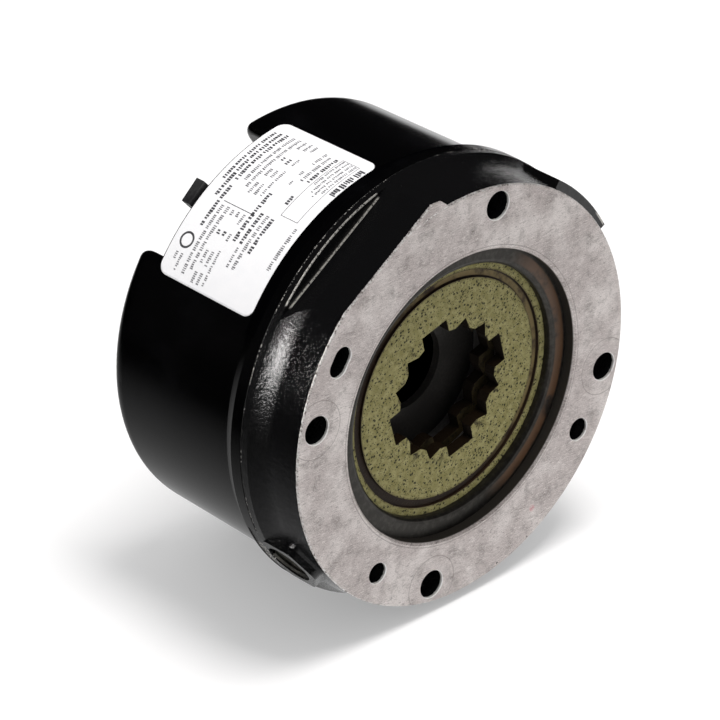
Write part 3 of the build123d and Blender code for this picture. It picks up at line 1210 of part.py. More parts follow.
def main():
    """Build every piece and write it to its own file."""
    os.makedirs("parts", exist_ok=True)
    pieces = [
        make_endplate(),
        make_wear_ring(),
        make_friction_disc("front_friction_disc", FRONT_DISC_DEPTH, 0.0),
        make_stationary_disc(),
        make_friction_disc("rear_friction_disc", REAR_DISC_DEPTH, REAR_DISC_TURN),
        make_pressure_plate(),
        make_pull_studs(),
        make_pressure_springs(),
        make_spring_cups(),
        make_support_plate(),
        make_support_screws(),
        make_release_yoke(),
        make_pivot_brackets(),
        make_pivot_pins(),
        make_pivot_screws(),
        make_plunger(),
        make_plunger_pin(),
        make_solenoid_frame(),
        make_solenoid_coil(),
        make_solenoid_bracket(),
        make_bracket_screws(),
        make_solenoid_screws(),
        make_release_shaft(),
        make_release_bush(),
        make_release_lever(),
        make_release_nut(),
        make_cover(),
        make_cover_gasket(),
        make_cover_screws(),
        make_label(),
    ]
    for piece in pieces:
        export_step(piece, f"parts/{piece.label}.step")


main()
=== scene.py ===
"""Studio picture of a spring-set motor brake, dressed over its CAD frame."""

import logging
import math
import random
from dataclasses import dataclass, field
from enum import Enum
from functools import partial
from typing import Iterable, Optional, Union

import bmesh
import bpy
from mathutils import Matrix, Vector


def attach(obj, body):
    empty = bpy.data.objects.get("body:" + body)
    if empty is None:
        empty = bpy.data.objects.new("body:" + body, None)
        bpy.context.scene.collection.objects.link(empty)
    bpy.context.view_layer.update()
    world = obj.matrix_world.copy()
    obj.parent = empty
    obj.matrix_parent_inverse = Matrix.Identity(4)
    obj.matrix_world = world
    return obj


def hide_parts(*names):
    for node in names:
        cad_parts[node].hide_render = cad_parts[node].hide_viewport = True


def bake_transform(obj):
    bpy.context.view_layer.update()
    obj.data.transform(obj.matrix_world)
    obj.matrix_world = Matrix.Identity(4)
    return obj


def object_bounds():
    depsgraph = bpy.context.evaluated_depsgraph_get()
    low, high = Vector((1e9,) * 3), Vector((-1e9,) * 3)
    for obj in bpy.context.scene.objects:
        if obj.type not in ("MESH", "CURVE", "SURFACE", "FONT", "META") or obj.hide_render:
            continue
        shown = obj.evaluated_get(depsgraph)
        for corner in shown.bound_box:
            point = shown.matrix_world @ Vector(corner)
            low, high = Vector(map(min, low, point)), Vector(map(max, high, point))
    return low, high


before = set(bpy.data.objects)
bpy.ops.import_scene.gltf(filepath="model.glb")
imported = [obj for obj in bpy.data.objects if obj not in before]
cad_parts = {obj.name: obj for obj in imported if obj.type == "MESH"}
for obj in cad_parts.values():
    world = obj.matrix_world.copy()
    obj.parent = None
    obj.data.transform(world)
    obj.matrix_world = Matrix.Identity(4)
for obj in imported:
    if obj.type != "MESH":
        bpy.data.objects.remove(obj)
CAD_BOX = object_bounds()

log = logging.getLogger("motor_brake")

Colour = tuple[float, float, float]
Place = tuple[float, float, float]
Span = tuple[float, float]
Socket = bpy.types.NodeSocket
Value = Union[float, Colour, Socket]
MM = 0.001
WHITE: Colour = (1.0, 1.0, 1.0)


class Body(Enum):
    """Rigid bodies of the brake that the added pieces ride on."""

    HOUSING = "housing"
    CLAMP = "clamp"


class Ray(Enum):
    """Kinds of light ray that may see a brighter background."""

    CAMERA = "Is Camera Ray"
    GLOSSY = "Is Glossy Ray"
    TRANSMISSION = "Is Transmission Ray"


def on_face(radius: float, angle: float, depth: float = 0.0) -> Vector:
    """Point of the brake from its radius, its angle and its depth.

    Args:
        radius: distance from the shaft axis in millimetres.
        angle: degrees counter-clockwise from the right, seen from the front.
        depth: millimetres behind the mounting face.

    Returns:
        The point in metres.
    """
    turn = math.radians(angle)
    return Vector((radius * math.cos(turn), depth, radius * math.sin(turn))) * MM


def settle(mesh: bmesh.types.BMesh, name: str) -> bpy.types.Mesh:
    """Turn a finished working mesh into mesh data.

    Args:
        mesh: the working mesh, which is freed.
        name: name of the data.

    Returns:
        The mesh data.
    """
    data = bpy.data.meshes.new(name)
    mesh.to_mesh(data)
    mesh.free()
    return data


def put(name: str, data: bpy.types.ID) -> bpy.types.Object:
    """Put mesh data, a lamp or a camera into the scene.

    Args:
        name: name of the new object.
        data: what the object shows.

    Returns:
        The object.
    """
    thing = bpy.data.objects.new(name, data)
    bpy.context.scene.collection.objects.link(thing)
    return thing


class Wiring:
    """Adds and links the nodes of one node tree."""

    def __init__(self, tree: bpy.types.NodeTree) -> None:
        """Work on a node tree."""
        self.tree = tree

    def node(self, kind: str, **settings: object) -> bpy.types.Node:
        """Add a node.

        Args:
            kind: Blender's name of the node type.
            settings: attributes to set on the node.

        Returns:
            The new node.
        """
        made = self.tree.nodes.new(kind)
        for key, value in settings.items():
            setattr(made, key, value)
        return made

    def feed(self, socket: Socket, value: Value) -> None:
        """Set a socket to a constant, or link another socket to it.

        Args:
            socket: the input socket.
            value: a number, a colour or an output socket.
        """
        if isinstance(value, Socket):
            self.tree.links.new(value, socket)
        elif isinstance(value, tuple) and len(value) == 3 and len(socket.default_value) == 4:
            socket.default_value = (*value, 1.0)
        else:
            socket.default_value = value

    def reckon(self, operation: str, first: Value, second: Value = 0.0) -> Socket:
        """Do arithmetic on two values.

        Args:
            operation: Blender's name of the operation.
            first: first value.
            second: second value.

        Returns:
            The result's socket.
        """
        made = self.node("ShaderNodeMath", operation=operation)
        self.feed(made.inputs[0], first)
        self.feed(made.inputs[1], second)
        return made.outputs[0]

    def times(self, first: Value, *others: Value) -> Socket:
        """Multiply values.

        Args:
            first: first value.
            others: the values it is multiplied by, in order.

        Returns:
            The product's socket.
        """
        for other in others:
            first = self.reckon("MULTIPLY", first, other)
        return first

    def plus(self, first: Value, second: Value) -> Socket:
        """Add two values."""
        return self.reckon("ADD", first, second)

    def most(self, first: Value, *others: Value) -> Socket:
        """Take the largest of some values.

        Args:
            first: first value.
            others: the values it is held against.

        Returns:
            The largest value's socket.
        """
        for other in others:
            first = self.reckon("MAXIMUM", first, other)
        return first

    def lerp(self, share: Value, first: Value, second: Value) -> Socket:
        """Blend two numbers.

        Args:
            share: how much of the second number shows.
            first: first number.
            second: second number.

        Returns:
            A value socket.
        """
        made = self.node("ShaderNodeMix", data_type="FLOAT")
        self.feed(made.inputs[0], share)
        self.feed(made.inputs[2], first)
        self.feed(made.inputs[3], second)
        return made.outputs[0]

    def seen_by(self, rays: Iterable[Ray]) -> Socket:
        """Mark the rays that see the bright background.

        Args:
            rays: kinds of ray.

        Returns:
            A value socket, one for those rays.
        """
        path = self.node("ShaderNodeLightPath")
        return self.most(*(path.outputs[ray.value] for ray in rays))


@dataclass(frozen=True)
class Grain:
    """Soft random pattern: repeats per metre, finer layers, their share, and scale along each axis."""

    scale: float
    detail: float = 3.0
    rough: float = 0.55
    stretch: Optional[Place] = None


@dataclass(frozen=True)
class Layer:
    """One coat over a surface: its grain, where that starts and is full, its share and its colour."""

    grain: Grain
    start: float
    full: float
    share: float
    colour: Colour


class Graph(Wiring):
    """Builds the node graph of one material, socket by socket.

    Its sockets place, point, depth, radius and angle follow the surface point in the brake's own
    frame, in metres and radians.
    """

    def __init__(self, name: str) -> None:
        """Start a material with one surface shader.

        Args:
            name: name of the material.
        """
        self.material = bpy.data.materials.new(name)
        self.material.use_nodes = True
        super().__init__(self.material.node_tree)
        self.shader = self.tree.nodes["Principled BSDF"]
        self.place = self.node("ShaderNodeTexCoord").outputs["Object"]
        self.point = self.split(self.place)
        self.depth = self.point["Y"]
        self.radius = self.apart("XZ", (0.0, 0.0))
        self.angle = self.reckon("ARCTAN2", self.point["Z"], self.point["X"])
        self._grains: dict[Grain, Socket] = {}

    def split(self, vector: Socket) -> dict[str, Socket]:
        """Split a vector into its three coordinates.

        Args:
            vector: the vector's socket.

        Returns:
            Sockets by the names X, Y and Z.
        """
        made = self.node("ShaderNodeSeparateXYZ")
        self.feed(made.inputs[0], vector)
        return {axis: made.outputs[axis] for axis in "XYZ"}

    def apart(self, axes: str, place: Span) -> Socket:
        """Give the distance from a place, measured along two axes only.

        Args:
            axes: names of the two axes.
            place: the place along them, in metres.

        Returns:
            A value socket, in metres.
        """
        offsets = [self.reckon("SUBTRACT", self.point[axis], at) for axis, at in zip(axes, place)]
        across, along = (self.times(offset, offset) for offset in offsets)
        return self.reckon("SQRT", self.plus(across, along))

    def near(self, point: Vector) -> Socket:
        """Give the distance to a line along the shaft's direction through a point, in metres."""
        return self.apart("XZ", (point.x, point.z))

    def along(self, angle: float) -> Socket:
        """Give the distance from the shaft axis along one direction in the face.

        Args:
            angle: the direction, in degrees counter-clockwise from the right.

        Returns:
            A value socket, in metres.
        """
        turn = math.radians(angle)
        across = self.times(self.point["X"], math.cos(turn))
        up = self.times(self.point["Z"], math.sin(turn))
        return self.plus(across, up)

    def step(self, value: Value, start: float, end: float, top: float = 1.0) -> Socket:
        """Rise smoothly from nothing to a top value.

        Args:
            value: what is followed.
            start: where the rise starts.
            end: where the rise ends; below start, it falls instead.
            top: the highest result.

        Returns:
            A value socket.
        """
        made = self.node("ShaderNodeMapRange", interpolation_type="SMOOTHSTEP")
        low, high, first, last = (start, end, 0.0, top) if start < end else (end, start, top, 0.0)
        self.feed(made.inputs["Value"], value)
        made.inputs["From Min"].default_value = low
        made.inputs["From Max"].default_value = high
        made.inputs["To Min"].default_value = first
        made.inputs["To Max"].default_value = last
        return made.outputs["Result"]

    def rise(self, value: Value, span: Span) -> Socket:
        """Step from one end of a span in millimetres to the other."""
        return self.step(value, span[0] * MM, span[1] * MM)

    def band(self, value: Value, low: float, high: float, soft: float) -> Socket:
        """Mark where a value lies between two limits.

        Args:
            value: what is followed.
            low: lower limit.
            high: upper limit.
            soft: width of each soft edge.

        Returns:
            A value socket, one inside the band.
        """
        return self.times(self.step(value, low - soft, low), self.step(value, high + soft, high))

    def zone(self, value: Value, span: Span, soft: float) -> Socket:
        """Mark a span in millimetres, with soft edges of that many millimetres."""
        return self.band(value, span[0] * MM, span[1] * MM, soft * MM)

    def sector(self, span: Span, soft: float) -> Socket:
        """Mark a span of degrees round the shaft, with soft edges in radians."""
        return self.band(self.angle, math.radians(span[0]), math.radians(span[1]), soft)

    def grain(self, grain: Grain) -> Socket:
        """Lay a soft random pattern over the surface, once for each grain.

        Args:
            grain: the pattern.

        Returns:
            A value socket between nothing and one.
        """
        if grain not in self._grains:
            made = self.node("ShaderNodeTexNoise")
            made.inputs["Scale"].default_value = grain.scale
            made.inputs["Detail"].default_value = grain.detail
            made.inputs["Roughness"].default_value = grain.rough
            where = self.place
            if grain.stretch is not None:
                mapping = self.node("ShaderNodeMapping")
                self.feed(mapping.inputs["Vector"], where)
                mapping.inputs["Scale"].default_value = grain.stretch
                where = mapping.outputs["Vector"]
            self.feed(made.inputs["Vector"], where)
            self._grains[grain] = made.outputs["Fac"]
        return self._grains[grain]

    def cells(self, scale: float) -> Socket:
        """Give the distance to the nearest of many random points.

        Args:
            scale: points per metre.

        Returns:
            A value socket.
        """
        made = self.node("ShaderNodeTexVoronoi")
        made.inputs["Scale"].default_value = scale
        self.feed(made.inputs["Vector"], self.place)
        return made.outputs["Distance"]

    def blend(self, share: Value, first: Value, second: Value) -> Socket:
        """Blend two colours.

        Args:
            share: how much of the second colour shows.
            first: first colour.
            second: second colour.

        Returns:
            A colour socket.
        """
        made = self.node("ShaderNodeMix", data_type="RGBA")
        self.feed(made.inputs[0], share)
        self.feed(made.inputs[6], first)
        self.feed(made.inputs[7], second)
        return made.outputs[2]

    def coat(self, colour: Value, layer: Layer, where: Value = 1.0) -> Socket:
        """Lay a coat over a colour.

        Args:
            colour: what is under the coat.
            layer: the coat.
            where: how much of it may show.

        Returns:
            A colour socket.
        """
        share = self.step(self.grain(layer.grain), layer.start, layer.full, layer.share)
        return self.blend(self.times(where, share), colour, layer.colour)

    def bump(self, height: Socket, distance: float) -> None:
        """Raise the surface by a height pattern.

        Args:
            height: the pattern's socket.
            distance: full height in millimetres.
        """
        made = self.node("ShaderNodeBump")
        made.inputs["Strength"].default_value = 1.0
        made.inputs["Distance"].default_value = distance * MM
        self.feed(made.inputs["Height"], height)
        self.feed(self.shader.inputs["Normal"], made.outputs["Normal"])

    def surface(self, **values: Value) -> bpy.types.Material:
        """Set the shader's sockets.

        Args:
            values: socket values, with spaces in the names written as underscores.

        Returns:
            The finished material.
        """
        for key, value in values.items():
            self.feed(self.shader.inputs[key.replace("_", " ")], value)
        return self.material


@dataclass(frozen=True)
class Finish:
    """A plain worked surface: one colour with grain, rubbed places and a fine bump in millimetres."""

    name: str
    colour: Colour
    worn: Colour
    metallic: float
    roughness: float
    grain: float = 900.0
    stretch: Optional[Place] = None
    bump: float = 0.03
    spread: float = 0.12
    broad: Grain = Grain(60.0, 2.0)
    worn_from: float = 0.4
    worn_to: float = 0.68

    def build(self) -> bpy.types.Material:
        """Make the material.

        Returns:
            The material.
        """
        graph = Graph(self.name)
        fine = graph.grain(Grain(self.grain, 4.0, 0.6, self.stretch))
        broad = graph.grain(self.broad)
        mixed = graph.plus(graph.times(fine, 0.5), graph.times(broad, 0.5))
        graph.bump(fine, self.bump)
        return graph.surface(
            Base_Color=graph.blend(graph.step(mixed, self.worn_from, self.worn_to), self.colour, self.worn),
            Roughness=graph.lerp(broad, self.roughness - self.spread, self.roughness + self.spread),
            Metallic=self.metallic,
        )


@dataclass(frozen=True)
class Spot:
    """One round place on the face, in millimetres and degrees, and the colour it takes."""

    circle: float
    angle: float
    size: float
    colour: Colour


@dataclass(frozen=True)
class CastPlateFinish:
    """Cast endplate: bare machined face, dark bored recess and chipped black paint on the sides.

    Lengths are in millimetres and angles in degrees. Each span runs from where a zone starts to
    where it is full, or from its lower to its upper limit. Each lit hole, whose rim gets a painted
    highlight, has the circle that it lies on, its angle and its radius.
    """

    name: str = "cast_plate"
    bare: Colour = (0.53, 0.475, 0.46)
    pale: Colour = (0.82, 0.77, 0.745)
    stain: Colour = (0.19, 0.165, 0.155)
    bored: Colour = (0.038, 0.034, 0.029)
    paint: Colour = (0.0036, 0.0036, 0.0039)
    chip: Colour = (0.62, 0.60, 0.56)
    pink: Colour = (0.60, 0.30, 0.32)
    # Pale colour of the painted highlights on the hole rims and along the face's edge.
    painted_glint: Colour = (0.86, 0.85, 0.83)
    broad: Grain = Grain(45.0)
    patches: Grain = Grain(90.0)
    cloud: Grain = Grain(130.0, 6.0, 0.72)
    cast: Grain = Grain(420.0, 5.0, 0.65)
    streak: Grain = Grain(520.0, 4.0, 0.65, (0.25, 1.0, 2.4))
    nicks: Grain = Grain(900.0, 3.0, 0.7)
    sand: Grain = Grain(1100.0, 3.0, 0.7)
    nibble: Grain = Grain(1500.0, 2.0)
    scratch: Grain = Grain(1500.0, 3.0, 0.6, (0.3, 1.0, 1.6))
    fine: Grain = Grain(2600.0, 3.0, 0.6)
    layers: tuple[Layer, ...] = (
        Layer(broad, 0.42, 0.66, 0.7, pale),
        Layer(cloud, 0.48, 0.68, 0.55, stain),
        Layer(cloud, 0.46, 0.30, 0.5, pale),
        Layer(cast, 0.58, 0.72, 0.5, stain),
        Layer(streak, 0.56, 0.70, 0.65, pale),
        Layer(streak, 0.42, 0.30, 0.5, stain),
        Layer(scratch, 0.56, 0.66, 0.75, pale),
        Layer(scratch, 0.42, 0.32, 0.7, stain),
        Layer(fine, 0.54, 0.70, 0.8, stain),
        Layer(fine, 0.46, 0.31, 0.8, pale),
    )
    # Painted highlight specks along the face's edge in the pale glint colour, with real dark nicks between.
    edge_highlight_and_nick_layers: tuple[Layer, ...] = (
        Layer(nicks, 0.46, 0.58, 0.8, painted_glint),
        Layer(nicks, 0.44, 0.36, 0.8, bored),
    )
    # Painted highlight: a pale crescent on each lit hole's rim, where light would catch the chamfer.
    lip_highlight_layer: Layer = Layer(cast, 0.30, 0.50, 0.9, painted_glint)
    bolt_circle: float = 74.61
    ringed_holes: tuple[float, ...] = (167.75, -102.25, -12.25)
    seat_ring: Span = (11.3, 11.5)
    lit_holes: tuple[tuple[float, float, float], ...] = (
        (bolt_circle, 77.75, 5.55),
        (bolt_circle, 167.75, 5.55),
        (bolt_circle, -102.25, 5.55),
        (bolt_circle, -12.25, 5.55),
        (71.0, -32.2, 4.5),
        (71.0, -127.5, 4.15),
        (72.6, 149.2, 4.0),
        (72.6, 146.1, 4.0),
    )
    # Offset that turns each hole's painted highlight into a crescent on its lower right.
    lit_shift: Place = (0.32, 0.0, -0.30)
    lit_outer: float = 0.30
    lit_inner: float = 0.16
    spots: tuple[Spot, ...] = (
        Spot(72.1, -59.7, 1.9, pink),
        Spot(80.7, -76.9, 0.7, bored),
        Spot(81.0, -65.3, 0.5, bored),
    )
    pad_angle: float = 123.4
    brink_radius: Span = (81.85, 82.35)
    brink_pad: Span = (79.9, 80.05)
    register_line: Span = (58.9, 59.1)
    face_edge: float = 0.35
    face_ragged: float = 0.9
    recess_radius: Span = (66.5, 65.5)
    pocket_depth: Span = (13.4, 13.8)
    pocket_radius: Span = (79.4, 79.0)
    bore_radius: Span = (57.6, 57.3)
    bore_depth: Span = (0.6, 1.0)
    rim_depth: Span = (24.75, 25.1)
    rim_radius: Span = (85.4, 85.9)
    ledge_depth: Span = (21.4, 22.5)
    ledge_radius: Span = (85.75, 86.0)
    ledge_pad: Span = (80.75, 80.45)
    ledge_angles: Span = (106.0, 140.0)
    lug_angles: Span = (27.0, 33.0)
    lug_radius: Span = (84.9, 85.3)
    lug_depth: Span = (20.0, 14.0)
    calm_depth: Span = (12.6, 15.0)
    seat_share: float = 0.55
    register_share: float = 0.5
    spot_core: float = 0.3
    spot_nibble: Span = (0.35, 0.6)
    rim_nibble: Span = (0.52, 0.60)
    rim_patches: Span = (0.42, 0.56)
    ledge_nibble: Span = (0.34, 0.50)
    lug_cast: Span = (0.42, 0.52)
    sand_share: float = 0.42
    fine_share: float = 0.2
    wet_paint: float = 0.10
    dull_paint: Span = (0.13, 0.34)
    metal_rough: Span = (0.42, 0.62)
    metallic: float = 0.65
    relief: float = 0.22

    def build(self) -> bpy.types.Material:
        """Make the material.

        Returns:
            The material.
        """
        graph = Graph(self.name)
        fine, cast, sand = (graph.grain(grain) for grain in (self.fine, self.cast, self.sand))
        bare = self.bare_zones(graph)
        chips = self.chips(graph)
        bored = graph.rise(graph.radius, self.bore_radius)
        bored = graph.times(bored, graph.rise(graph.depth, self.bore_depth))
        colour = graph.blend(bare, self.paint, self.metal(graph))
        colour = graph.blend(chips, colour, self.chip)
        colour = graph.blend(bored, colour, self.bored)
        shine = graph.most(bare, chips)
        dullest = graph.lerp(graph.rise(graph.depth, self.calm_depth), *self.dull_paint)
        painted_rough = graph.lerp(graph.grain(self.nicks), self.wet_paint, dullest)
        rough_cast = graph.plus(cast, graph.times(sand, self.sand_share))
        graph.bump(graph.lerp(shine, rough_cast, graph.times(fine, self.fine_share)), self.relief)
        return graph.surface(
            Base_Color=colour,
            Metallic=graph.times(shine, self.metallic),
            Roughness=graph.lerp(shine, painted_rough, graph.lerp(fine, *self.metal_rough)),
        )

    def metal(self, graph: Graph) -> Socket:
        """Colour bare metal: stains, scratches, seats, nicked edge, painted highlights on rims and edge.

        Args:
            graph: the material's node graph.

        Returns:
            A colour socket.
        """
        colour: Value = self.bare
        for layer in self.layers:
            colour = graph.coat(colour, layer)
        for angle in self.ringed_holes:
            line = graph.zone(graph.near(on_face(self.bolt_circle, angle)), self.seat_ring, 0.1)
            colour = graph.blend(graph.times(line, self.seat_share), colour, self.stain)
        # Painted highlight on the rims of the lit holes.
        for circle, angle, size in self.lit_holes:
            reach = graph.near(on_face(circle, angle) + Vector(self.lit_shift) * MM)
            lip = graph.rise(reach, (size + self.lit_outer, size + self.lit_inner))
            colour = graph.coat(colour, self.lip_highlight_layer, lip)
        # Painted highlight specks and dark nicks along the face's outer edge and the pad's edge.
        pad_brink = graph.rise(graph.along(self.pad_angle), self.brink_pad)
        brink = graph.most(graph.zone(graph.radius, self.brink_radius, 0.1), pad_brink)
        for layer in self.edge_highlight_and_nick_layers:
            colour = graph.coat(colour, layer, brink)
        register = graph.zone(graph.radius, self.register_line, 0.15)
        colour = graph.blend(graph.times(register, self.register_share), colour, self.stain)
        ragged = graph.step(graph.grain(self.nibble), *self.spot_nibble)
        for spot in self.spots:
            reach = graph.near(on_face(spot.circle, spot.angle))
            mark = graph.rise(reach, (spot.size, spot.size * self.spot_core))
            colour = graph.blend(graph.times(mark, ragged), colour, spot.colour)
        return colour

    def bare_zones(self, graph: Graph) -> Socket:
        """Mark where the casting is machined and carries no paint.

        Args:
            graph: the material's node graph.

        Returns:
            A value socket, one on bare metal.
        """
        ragged = graph.times(graph.grain(self.nibble), self.face_ragged * MM)
        face = graph.reckon("LESS_THAN", graph.depth, graph.plus(self.face_edge * MM, ragged))
        recess = graph.rise(graph.radius, self.recess_radius)
        pocket = graph.times(
            graph.rise(graph.depth, self.pocket_depth),
            graph.rise(graph.radius, self.pocket_radius),
        )
        return graph.most(face, recess, pocket)

    def chips(self, graph: Graph) -> Socket:
        """Mark where the paint is chipped off the rear rim, the pad's ledge and the lug.

        Args:
            graph: the material's node graph.

        Returns:
            A value socket, one on chipped places.
        """
        nibble = graph.grain(self.nibble)
        rim = graph.times(
            graph.rise(graph.depth, self.rim_depth),
            graph.rise(graph.radius, self.rim_radius),
            graph.step(nibble, *self.rim_nibble),
            graph.step(graph.grain(self.patches), *self.rim_patches),
        )
        pad_edge = graph.rise(graph.along(self.pad_angle), self.ledge_pad)
        ledge = graph.times(
            graph.zone(graph.depth, self.ledge_depth, 0.2),
            graph.most(graph.rise(graph.radius, self.ledge_radius), pad_edge),
            graph.sector(self.ledge_angles, 0.02),
            graph.step(nibble, *self.ledge_nibble),
        )
        lug = graph.times(
            graph.sector(self.lug_angles, 0.05),
            graph.rise(graph.radius, self.lug_radius),
            graph.rise(graph.depth, self.lug_depth),
            graph.step(graph.grain(self.cast), *self.lug_cast),
        )
        return graph.most(rim, ledge, lug)


@dataclass(frozen=True)
class FrictionFinish:
    """Moulded friction material: olive ground, dark and pale flecks, a brown groove and burnt teeth.

    Lengths are in millimetres and angles in degrees.
    """

    name: str = "friction"
    olive: Colour = (0.188, 0.171, 0.064)
    pale: Colour = (0.270, 0.250, 0.112)
    dark: Colour = (0.012, 0.012, 0.008)
    groove: Colour = (0.034, 0.018, 0.010)
    # Rust-brown of the groove's upper right side: partly its own colour, partly painted highlight.
    rusty: Colour = (0.150, 0.112, 0.045)
    burnt: Colour = (0.011, 0.0065, 0.003)
    scorch: Grain = Grain(160.0)
    lit_grain: Grain = Grain(160.0, 4.0)
    clusters: Grain = Grain(240.0)
    singe: Grain = Grain(300.0, 4.0)
    mottle: Grain = Grain(350.0, 4.0)
    streaks: Grain = Grain(1000.0, 3.0, 0.75)
    ragged: Grain = Grain(1400.0, 3.0, 0.7)
    pores: Grain = Grain(1500.0, 4.0, 0.7)
    fleck_cells: float = 560.0
    dot_cells: float = 1300.0
    groove_ring: Span = (43.4, 46.7)
    groove_edge: float = 0.5
    groove_wall: float = 0.75
    lit_side: float = 35.0
    lit_span: Span = (-12.0, 22.0)
    burnt_radius: Span = (40.0, 34.0)
    singed_radius: Span = (30.5, 27.0)
    mark_share: float = 0.9
    mark_depth: float = -0.5
    edge_share: float = 0.35
    wall_turn: Span = (0.7, 0.4)
    ragged_share: float = 0.34
    fleck_step: Span = (0.48, 0.38)
    streak_step: Span = (0.62, 0.67)
    dot_step: Span = (0.48, 0.40)
    cluster_step: Span = (0.34, 0.52)
    roughness: Span = (0.8, 0.6)
    sheen: float = 0.25
    relief: float = 0.12

    def build(self) -> bpy.types.Material:
        """Make the material.

        Returns:
            The material.
        """
        graph = Graph(self.name)
        marks = self.marks(graph)
        colour = graph.coat(self.olive, Layer(self.mottle, 0.35, 0.7, 1.0, self.pale))
        colour = graph.blend(graph.times(marks, self.mark_share), colour, self.dark)
        inner, outer = self.groove_ring
        edge = graph.zone(graph.radius, (inner - self.groove_edge, outer + self.groove_edge), 0.2)
        colour = graph.blend(graph.times(edge, self.edge_share), colour, self.groove)
        ring = graph.zone(graph.radius, self.groove_ring, 0.1)
        colour = graph.blend(ring, colour, self.brown(graph))
        singed = graph.rise(graph.radius, self.singed_radius)
        colour = graph.coat(colour, Layer(self.singe, 0.52, 0.64, 0.75, self.burnt), singed)
        normal = graph.split(graph.node("ShaderNodeNewGeometry").outputs["Normal"])
        wall = graph.step(graph.reckon("ABSOLUTE", normal["Y"]), *self.wall_turn)
        burnt = graph.times(wall, graph.rise(graph.radius, self.burnt_radius))
        colour = graph.blend(burnt, colour, self.burnt)
        sunk = graph.times(marks, self.mark_depth)
        graph.bump(graph.plus(graph.grain(self.pores), sunk), self.relief)
        return graph.surface(
            Base_Color=colour,
            Roughness=graph.lerp(ring, *self.roughness),
            Metallic=0.0,
            Specular_IOR_Level=self.sheen,
        )

    def marks(self, graph: Graph) -> Socket:
        """Mark the dark flecks, streaks and dots of the moulding.

        Args:
            graph: the material's node graph.

        Returns:
            A value socket, one on the marks.
        """
        ragged = graph.times(graph.grain(self.ragged), self.ragged_share)
        flecks = graph.step(graph.plus(graph.cells(self.fleck_cells), ragged), *self.fleck_step)
        streaks = graph.step(graph.grain(self.streaks), *self.streak_step)
        dots = graph.step(graph.plus(graph.cells(self.dot_cells), ragged), *self.dot_step)
        dots = graph.times(dots, graph.step(graph.grain(self.clusters), *self.cluster_step))
        return graph.most(flecks, streaks, dots)

    def brown(self, graph: Graph) -> Socket:
        """Colour the groove brown, with a rust-brown band on one side that is also a painted highlight.

        Args:
            graph: the material's node graph.

        Returns:
            A colour socket.
        """
        inner, outer = self.groove_ring
        middle = graph.zone(graph.radius, (inner + self.groove_wall, outer - self.groove_wall), 0.4)
        # Painted highlight: the middle of the groove turns lighter rust-brown on its upper right side.
        lit = graph.times(graph.rise(graph.along(self.lit_side), self.lit_span), middle)
        brown = graph.blend(graph.grain(self.scorch), self.groove, self.burnt)
        return graph.coat(brown, Layer(self.lit_grain, 0.28, 0.55, 1.0, self.rusty), lit)


@dataclass(frozen=True)
class RingFinish:
    """Dark turned steel ring, rusty on one side, in millimetres and degrees."""

    name: str = "ring_steel"
    steel: Colour = (0.040, 0.037, 0.033)
    pale: Colour = (0.060, 0.056, 0.050)
    rust: Colour = (0.090, 0.046, 0.022)
    smear: Grain = Grain(120.0, 4.0)
    mottle: Grain = Grain(500.0, 4.0)
    turning: Grain = Grain(1800.0)
    rust_ring: Span = (52.4, 55.6)
    rust_angles: Span = (-55.0, 40.0)
    rust_smear: Span = (0.28, 0.52)
    metallic: Span = (0.85, 0.2)
    roughness: Span = (0.30, 0.5)
    relief: float = 0.03

    def build(self) -> bpy.types.Material:
        """Make the material.

        Returns:
            The material.
        """
        graph = Graph(self.name)
        smear = graph.grain(self.smear)
        colour = graph.coat(self.steel, Layer(self.mottle, 0.4, 0.7, 1.0, self.pale))
        rusty = graph.times(
            graph.sector(self.rust_angles, 0.35),
            graph.step(smear, *self.rust_smear),
            graph.zone(graph.radius, self.rust_ring, 0.9),
        )
        graph.bump(graph.grain(self.turning), self.relief)
        return graph.surface(
            Base_Color=graph.blend(rusty, colour, self.rust),
            Metallic=graph.lerp(rusty, *self.metallic),
            Roughness=graph.lerp(smear, *self.roughness),
        )


@dataclass(frozen=True)
class GlossPaintFinish:
    """Black stoving paint with a slight orange peel, a few dull smears and one dead matt shoulder.

    The shoulder of the lip beside the label is kept from mirroring the paper. Its depths are in
    millimetres and its angles in degrees.
    """

    name: str = "black_paint"
    colour: Colour = (0.0006, 0.0006, 0.0008)
    dust: Colour = (0.0026, 0.0026, 0.0031)
    smear: Grain = Grain(38.0, 4.0, 0.6, (1.0, 0.5, 1.0))
    peel: Grain = Grain(700.0, 2.0)
    shoulder_depth: Span = (29.6, 37.3)
    shoulder_angles: Span = (72.0, 150.0)
    roughness: Span = (0.12, 0.20)
    sheen: Span = (0.5, 0.0)
    relief: float = 0.02

    def build(self) -> bpy.types.Material:
        """Make the material.

        Returns:
            The material.
        """
        graph = Graph(self.name)
        shoulder = graph.times(
            graph.zone(graph.depth, self.shoulder_depth, 0.3),
            graph.sector(self.shoulder_angles, 0.05),
        )
        graph.bump(graph.grain(self.peel), self.relief)
        return graph.surface(
            Base_Color=graph.coat(self.colour, Layer(self.smear, 0.5, 0.8, 1.0, self.dust)),
            Roughness=graph.lerp(graph.grain(self.smear), *self.roughness),
            Metallic=0.0,
            Specular_IOR_Level=graph.lerp(shoulder, *self.sheen),
        )


